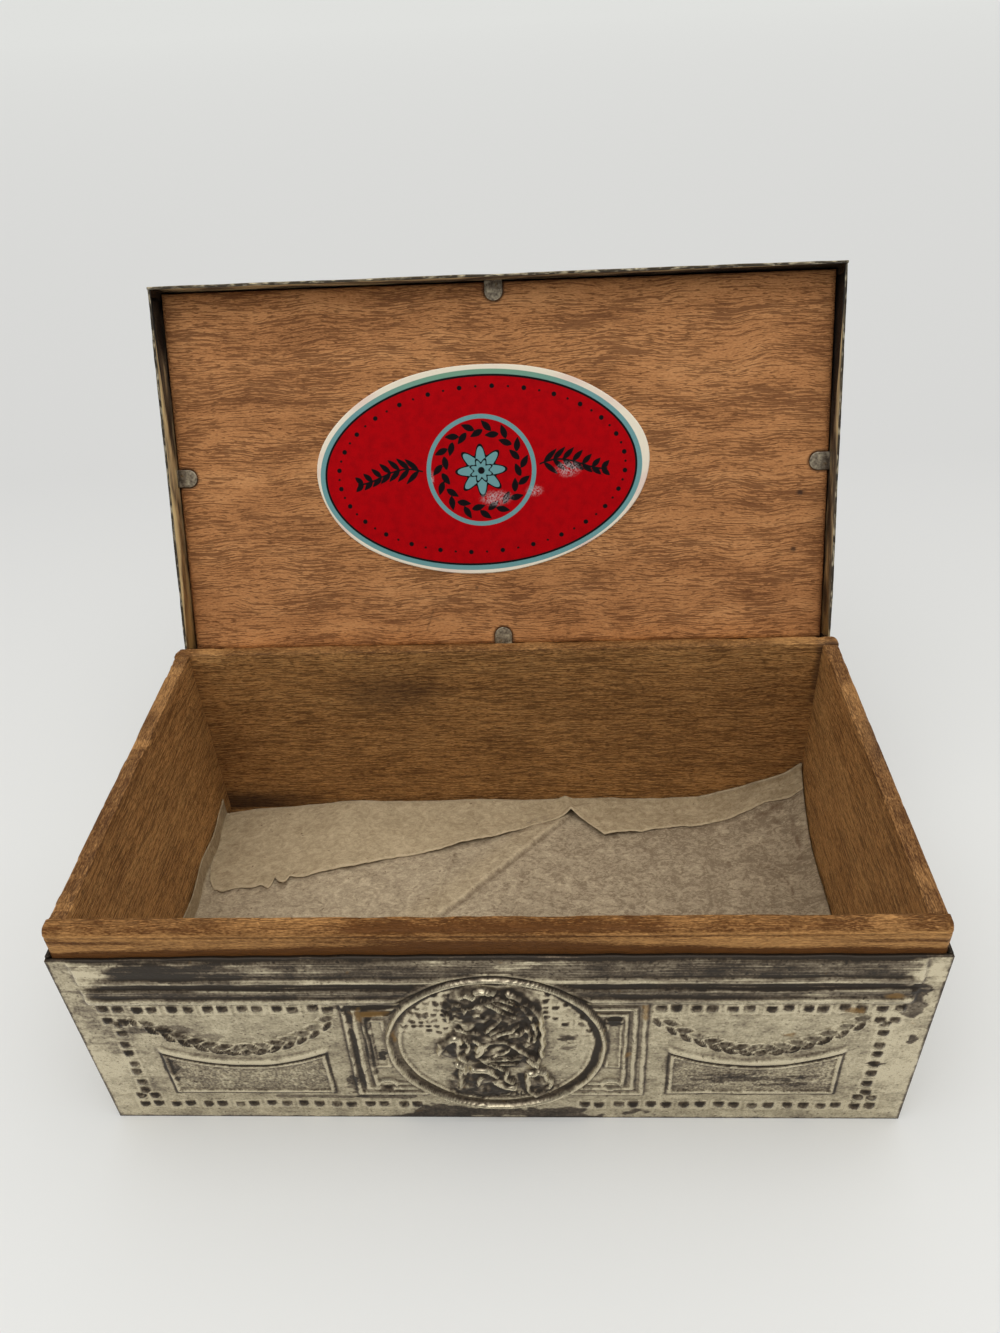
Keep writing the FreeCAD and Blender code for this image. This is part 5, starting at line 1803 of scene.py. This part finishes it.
    def panel(self) -> None:
        """Wooden panel: a slab with softened edges and a shallow pocket under each tab, ringed with painted
        shadow.
        """
        span = node_span("lid_panel", self.swing)
        half = span.high[:2] + np.array(self.panel_spread)
        u, v = level_grid(half, *self.panel_counts)
        edge = np.minimum(half[0] - np.abs(u), half[1] - np.abs(v)) + 0.08 * mottle(u.shape, 3, 3, 101)
        sunk = 0.3 * ramp(edge, 0.7, 0.0)
        stain = np.zeros_like(u)
        for side in Side:
            outside = self.off_tab(side, u, -v)
            sunk = np.maximum(sunk, 0.42 * ramp(outside, 0.3, 0.1))
            # A dark ring round each tab: painted shadow.
            stain = np.maximum(stain, 0.75 * ramp(np.abs(outside - 0.1), 0.55, 0.15))
        dense = np.zeros_like(u)
        ragged = 0.35 * mottle(u.shape, 14, 5, 102)
        for smudge_u, smudge_v, half_u, half_v, dark in self.smudges:
            tilted = v + 0.15 * (u - smudge_u)
            dense += dark * ramp(oval_reach(u, tilted, smudge_u, smudge_v, half_u, half_v) + ragged, 1.3, 0.2)
        for mark_u, mark_v, size, dark in self.marks:
            stain = np.maximum(stain, dark * ramp(oval_reach(u, v, mark_u, mark_v, size, size), 1.1, 0.5))
        off_u, off_v = u - self.pencil[0], v - self.pencil[1]
        strokes = np.minimum(np.abs(off_u - 0.35 * off_v), np.abs(off_v - 0.5 + 0.2 * off_u))
        near = np.hypot(off_u, off_v) < self.pencil_reach
        stain = np.maximum(stain, 0.4 * ramp(strokes, 0.35, 0.1) * near)
        place = Facing((0, 0, span.low[2]), EAST, SOUTH, DOWN, self.swing)
        surface = slab(np.stack([u, v, -sunk], -1), span.low[2] - span.high[2], place,
                       soil=0.2 * ramp(edge, 2.0, 0.0) + 0.15 * dense, stain=stain, dense=dense)
        add_piece("lid_wood_panel", surface, self.wood, "lid", "panel_wood", "lid_panel")

    def off_tab(self, side: Side, x: Array, y: Array) -> Array:
        """Distance outside one tab's round-ended outline, and far on the other half of the panel."""
        far = 9
        tab = node_span(f"retaining_tab_{side.label}", self.swing)
        inwards, across = (y, x) if side.long else (x, y)
        long, wide = (1, 0) if side.long else (0, 1)
        half_wide = (tab.high[wide] - tab.low[wide]) / 2
        nearest = min(abs(tab.high[long]), abs(tab.low[long]))
        inner = np.minimum(np.abs(inwards) - nearest - half_wide - self.tab_trim, 0)
        offset = across - (tab.high[wide] + tab.low[wide]) / 2
        same_half = inwards * side.value[1][long] > 0
        return np.where(same_half, np.hypot(inner, offset) - half_wide, far)

    def tabs(self) -> None:
        """Bent tabs: a strip runs up the skirt, bends and ends in a half circle over the panel."""
        panel = node_span("lid_panel", self.swing)
        foot_count, over_count, across_count = self.tab_counts
        for side in Side:
            name = f"retaining_tab_{side.label}"
            span = node_span(name, self.swing)
            distance = (self.half_depth if side.long else self.half_width) - self.sheet
            size = span.high - span.low
            half = (size[0] if side.long else size[1]) / 2
            reach = (size[1] if side.long else size[0]) - self.tab_trim
            foot = min(panel.low[2] - span.low[2], self.tab_foot)
            thick = span.high[2] - panel.low[2]
            over = foot + np.linspace(0, 1, over_count)[1:] * reach
            run = np.concatenate([np.linspace(0, foot, foot_count), over])[:, None]
            to_end = foot + reach - run
            wide = half * np.sqrt(np.clip(1 - np.clip(1 - to_end / half, 0, 1) ** 2, 0.0004, 1))
            across = np.linspace(-1, 1, across_count)[None, :] * wide
            out = np.clip(run - foot, 0, reach)
            swell = 0.06 * np.cos(across / half * 1.4) + 0 * run
            height = np.minimum(run - foot, 0) + 0 * across
            on_foot = ramp(run, foot + 0.25, foot - 0.25)
            laid = 1 - on_foot
            bottom = np.stack([across, height - swell * laid, -out - (thick * 0.7 + swell) * on_foot], -1)
            top = np.stack([across, height + thick * laid, -out - 0 * across], -1)
            facing = side.facing(distance, panel.low[2], self.swing)
            rings = np.concatenate([bottom, top[:, ::-1]], 1)
            # Towards its root over the gap the tab is painted darker: painted shade.
            root = ramp(run + 0 * rings[..., 0], foot + reach - 3.2, foot + reach - 4.4)
            worn = 0.2 + 0.1 * mottle(rings.shape[:2], 2, 2, 111) + 0.3 * root
            surface = tube(rings, facing, tarnish=worn)
            add_piece(f"bent_{name}", surface, self.tab, "lid", "tab_metal", name)

    def solder(self) -> None:
        """Solder and pitch in the corners: thin, very concave fillets, clear of the collar's round corner."""
        span = node_span("lid_corner_solder", self.swing)
        count, steps = self.solder_counts
        share = np.concatenate([[0], np.linspace(0, 1, count - 2), [1]])[:, None]
        level = span.low[2] + (span.high[2] - span.low[2]) * share
        closing = np.concatenate([[0.02], np.ones(count - 2), [0.02]])[:, None]
        turn = np.linspace(0, 1, steps)[None, :]
        pieces = []
        for side in (-1, 1):
            for end, leg in zip((-1, 1), self.solder_legs):
                rough = 1 + 0.22 * mottle((count, steps), 3, 4, 120 + 2 * side + end)
                from_side = leg * turn ** (1 / self.solder_hollow) * rough * closing
                from_end = leg * (1 - turn) ** (1 / self.solder_hollow) * rough * closing
                x = np.concatenate([side * (span.high[0] - from_side), 0 * level + side * span.high[0]], 1)
                y = np.concatenate([end * (span.high[1] - from_end), 0 * level + end * span.high[1]], 1)
                rings = np.stack([x, y, np.broadcast_to(level, x.shape)], -1)
                rings = rings[:, ::-1] if side * end > 0 else rings
                pieces.append(tube(rings, self.swing.opened))
        add_piece("corner_pitch", joined(pieces), self.pitch, "lid", "solder", "lid_corner_solder")


@dataclass
class Label:
    """Oval paper label with a printed rosette in a wreath between two sprigs.

    Scuffs are ovals (u, v, half u, half v). A wreath leaf is its length and width, a sprig leaf its length,
    how much shorter each next one is, and its width.
    """

    swing: Swing
    tilt: float = math.radians(2.2)
    half: Point = (38.5, 23.75)
    red_half: Point = (35.7, 21.2)
    teal_half: Point = (37.3, 22.8)
    ring_shift: Point = (-0.3, -0.25)
    ink_line: float = 0.5
    rows: int = 130
    around: int = 480
    under: float = 0.005
    inlay: float = 0.03
    petals: int = 8
    circle: float = 12.2
    wreath_radius: float = 9.2
    wreath_leaves: int = 30
    wreath_lean: float = 0.55
    wreath_leaf: Point = (3.4, 1.5)
    dots: int = 56
    dot_half: Point = (33.2, 18.8)
    dot_sizes: Point = (0.3, 0.55)
    sprig_leaves: int = 7
    sprig_start: float = 14.5
    sprig_pitch: float = 2.2
    sprig_ends: Point = (13.5, 29.0)
    sprig_lean: float = 0.75
    sprig_leaf: tuple = (4.4, 0.3, 1.25)
    wave_height: float = 1.4
    wave_start: float = 12.0
    wave_rate: float = 0.28
    scuffs: tuple = ((3, -6.5, 4.5, 2.2), (12, -5.4, 2.4, 1.6), (20, -1, 3.6, 2.2), (-11.5, -1, 0.5, 2.0))
    finish: LabelFinish = LabelFinish()

    def build(self) -> None:
        """Builds the oval from rings about its middle, and one last ring under its edge."""
        span = node_span("lid_label", self.swing)
        level = span.high[2] - span.low[2] - self.inlay
        share = np.linspace(0, 1, self.rows + 1)[1:, None] ** 0.8
        turn = np.linspace(0, 2 * math.pi, self.around + 1)[None, :-1]
        nick = 0.012 * np.exp(-((turn - 5.6) / 0.3) ** 2)
        cut = 1 + 0.006 * np.sin(turn * 3 + 1) + 0.004 * np.sin(turn * 7) - nick
        u = share * cut * self.half[0] * np.cos(turn)
        v = share * cut * self.half[1] * np.sin(turn)
        lift = 0.02 * np.sin(u * 0.4) * np.sin(v * 0.5)
        top = np.stack([u, v, level + lift - 0.05 * (share > 0.995)], -1)
        below = top[-1:].copy()
        below[..., 2] = self.under
        values = {label: np.concatenate([value, value[-1:]]) for label, value in self.prints(u, v).items()}
        middle = (span.high + span.low) / 2
        cosine, sine = math.cos(self.tilt), math.sin(self.tilt)
        place = Facing((middle[0], middle[1], span.high[2]), (cosine, -sine, 0), (-sine, -cosine, 0), DOWN,
                       self.swing)
        surface = tube(np.concatenate([top, below]), place, **values)
        add_piece("oval_label", surface, self.finish, "lid", "label_paper", "lid_label")

    def prints(self, u: Array, v: Array) -> dict[str, Array]:
        """Distances inside each print.

        Args:
            u, v: Places on the label.

        Returns:
            The rings, the red field, the teal and black motifs, and the scuffed share.
        """
        ring_u, ring_v = u - self.ring_shift[0], v - self.ring_shift[1]
        red = oval_inside(ring_u, ring_v, *self.red_half)
        teal = oval_inside(ring_u, ring_v, *self.teal_half)
        radius, turn = np.hypot(u, v), np.arctan2(v, u)
        petals = 4.6 + 1.2 * np.cos(self.petals * turn) - radius
        heart = 2.2 + 0.5 * np.cos(self.petals * turn + math.pi) - radius
        teal_motif = np.maximum(petals, 0.5 - np.abs(radius - self.circle))
        ink = [0.3 - np.abs(petals), 0.25 - np.abs(heart), 0.8 - radius]
        for index in range(self.wreath_leaves):
            at = index / self.wreath_leaves * 2 * math.pi
            lean = self.wreath_lean if index % 2 else -self.wreath_lean
            root = (self.wreath_radius * math.cos(at), self.wreath_radius * math.sin(at))
            ink.append(leaf_inside(u, v, root, at + math.pi / 2 + lean, *self.wreath_leaf))
        for index in range(self.dots):
            at = index / self.dots * 2 * math.pi
            dot = np.hypot(u - self.dot_half[0] * math.cos(at), v - self.dot_half[1] * math.sin(at))
            ink.append(self.dot_sizes[index % 2] - dot)
        ink += self.sprigs(u, v)
        scuff = np.max([ramp(oval_reach(u, v, *oval), 1.0, 0.3) for oval in self.scuffs], axis=0)
        return {"red_field": red, "ink_ring": red + self.ink_line, "teal_ring": teal,
                "teal_print": teal_motif, "ink_print": np.max(ink, axis=0), "scuff": 0.8 * scuff}

    def sprigs(self, u: Array, v: Array) -> list[Array]:
        """Distances inside the stems and leaves of the two sprigs, which wave along a sine."""
        start, end = self.sprig_ends
        length, shortening, width = self.sprig_leaf
        stem = np.abs(v - self.wave(np.abs(u)))
        shapes = [np.minimum(0.2 - stem, np.minimum(np.abs(u) - start, end - np.abs(u)))]
        for side in (-1, 1):
            for index in range(self.sprig_leaves):
                reach = self.sprig_start + index * self.sprig_pitch
                root = (side * reach, self.wave(reach))
                for lean in (-self.sprig_lean, self.sprig_lean):
                    heading = lean if side > 0 else math.pi - lean
                    shapes.append(leaf_inside(u, v, root, heading, length - shortening * index, width))
        return shapes

    def wave(self, reach: Union[Array, float]) -> Union[Array, float]:
        """Height of a sprig's stem at a distance from the label's middle: a sine."""
        return self.wave_height * np.sin((reach - self.wave_start) * self.wave_rate)


# Pieces that keep their construction shape

def dress_nodes() -> None:
    """Gives the hinge, the brads and the base plate their metal."""
    dressed = {
        MetalTone.HINGE: ("hinge_base_leaf", "hinge_lid_leaf", "hinge_pin"),
        MetalTone.STEEL: ("corner_brads",),
        MetalTone.BASE: ("base_plate",),
    }
    for tone, names in dressed.items():
        for name in names:
            materials = frame["nodes"][name].data.materials
            materials.clear()
            materials.append(PlainMetalFinish(tone).material())
            LOG.info("%s: dressed in %s", name, tone.value[0])


# Studio

@dataclass(frozen=True)
class Studio:
    """Pale floor, soft light from above and the camera of the photograph.

    Floor tones are a place along y and a colour, sky tones a height and a grey. A lamp is its name, strength,
    spread in degrees and direction.
    """

    floor_half: float = 9000.0
    floor_tones: tuple = (
        (-150, (229, 229, 226)), (40, (220, 220, 217)), (250, (207, 207, 205)), (2500, (216, 217, 214)))
    sky_tones: tuple = ((0.35, 0.28), (0.9, 0.82))
    lamps: tuple = (("key_lamp", 1.3, 70, (0.08, 0.3, -1.0)), ("fill_lamp", 0.4, 90, (-0.4, -0.3, -1.0)))
    focal_pixels: float = 1013.906
    picture_height: float = 1333.0
    sensor: float = 36.0
    eye: tuple = (11.3158, -148.4603, 188.3759)
    pitch: float = -0.636660
    yaw: float = -0.062919
    roll: float = -0.056147

    def build(self) -> None:
        """Lays the floor, the light and the camera."""
        bpy.context.scene.view_settings.view_transform = "Standard"
        self.floor()
        self.light()
        self.camera()

    def floor(self) -> None:
        """One wide level sheet, painted darker behind the box: a painted shadow."""
        corners = np.array([(-1, -1, 0), (1, -1, 0), (1, 1, 0), (-1, 1, 0)]) * self.floor_half
        sheet = Surface(corners, np.array([[0, 1, 2, 3]]), NO_TRIANGLES, {})
        floor = bpy.data.objects.new("studio_floor", sheet.mesh("studio_floor"))
        bpy.context.scene.collection.objects.link(floor)
        graph = Graph("studio_floor")
        near, far = self.floor_tones[0][0], self.floor_tones[-1][0]
        share = graph.fade(graph.parts(graph.objects())[1], near, far)
        stops = [((at - near) / (far - near), shade(*tone)) for at, tone in self.floor_tones]
        graph.surface(base_color=graph.shades(share, stops[0], stops[-1], *stops[1:-1]), roughness=0.8,
                      specular_ior_level=0.1)
        floor.data.materials.append(graph.material)

    def light(self) -> None:
        """Sky that is bright overhead and dimmer towards the rim, and two broad soft lamps."""
        world = bpy.data.worlds.new("studio_sky")
        world.use_nodes = True
        tree = world.node_tree
        sky = tree.nodes["Background"]
        place = tree.nodes.new("ShaderNodeTexCoord")
        split = tree.nodes.new("ShaderNodeSeparateXYZ")
        tones = tree.nodes.new("ShaderNodeValToRGB")
        for stop, (height, tone) in zip(tones.color_ramp.elements, self.sky_tones):
            stop.position = height
            stop.color = (tone, tone, tone, 1.0)
        tree.links.new(place.outputs["Generated"], split.inputs[0])
        tree.links.new(split.outputs[2], tones.inputs[0])
        tree.links.new(tones.outputs[0], sky.inputs["Color"])
        sky.inputs["Strength"].default_value = 1.0
        bpy.context.scene.world = world
        for name, energy, spread, direction in self.lamps:
            lamp = bpy.data.lights.new(name, "SUN")
            lamp.energy = energy
            lamp.angle = math.radians(spread)
            holder = bpy.data.objects.new(name, lamp)
            holder.rotation_euler = Vector(direction).to_track_quat("-Z", "Y").to_euler()
            bpy.context.scene.collection.objects.link(holder)

    def camera(self) -> None:
        """Camera at the photograph's eye point, turned by yaw, pitch and roll."""
        level_run = math.cos(self.pitch)
        forward = Vector((math.sin(self.yaw) * level_run, math.cos(self.yaw) * level_run,
                          math.sin(self.pitch)))
        level = Vector((math.cos(self.yaw), -math.sin(self.yaw), 0))
        upright = level.cross(forward)
        right = level * math.cos(self.roll) + upright * math.sin(self.roll)
        up = upright * math.cos(self.roll) - level * math.sin(self.roll)
        data = bpy.data.cameras.new("photo_camera")
        data.sensor_width = self.sensor
        data.lens = self.focal_pixels / self.picture_height * self.sensor
        data.clip_start = METRES
        camera = bpy.data.objects.new("photo_camera", data)
        turn = Matrix((right, up, -forward)).transposed().to_4x4()
        camera.matrix_world = Matrix.Translation(Vector(self.eye) * METRES) @ turn
        bpy.context.scene.collection.objects.link(camera)
        bpy.context.scene.camera = camera


def main() -> None:
    """Builds the box piece by piece, then the studio."""
    logging.basicConfig(level=logging.INFO, format="%(message)s")
    swing = lid_swing()
    base = node_span("base_plate")
    sheet = float(base.high[2])
    half_width, half_depth = float(base.high[0]) + sheet, float(base.high[1]) + sheet
    metal_height = float(node_span("front_panel").high[2])
    MetalBody(half_width, half_depth, float(base.high[1]), metal_height, sheet).build()
    Lining(sheet, metal_height, float(node_span("front_board").high[2])).build()
    Tissue().build()
    Lid(swing, half_width, half_depth, sheet).build()
    dress_nodes()
    Studio().build()


if __name__ == "__main__":
    main()
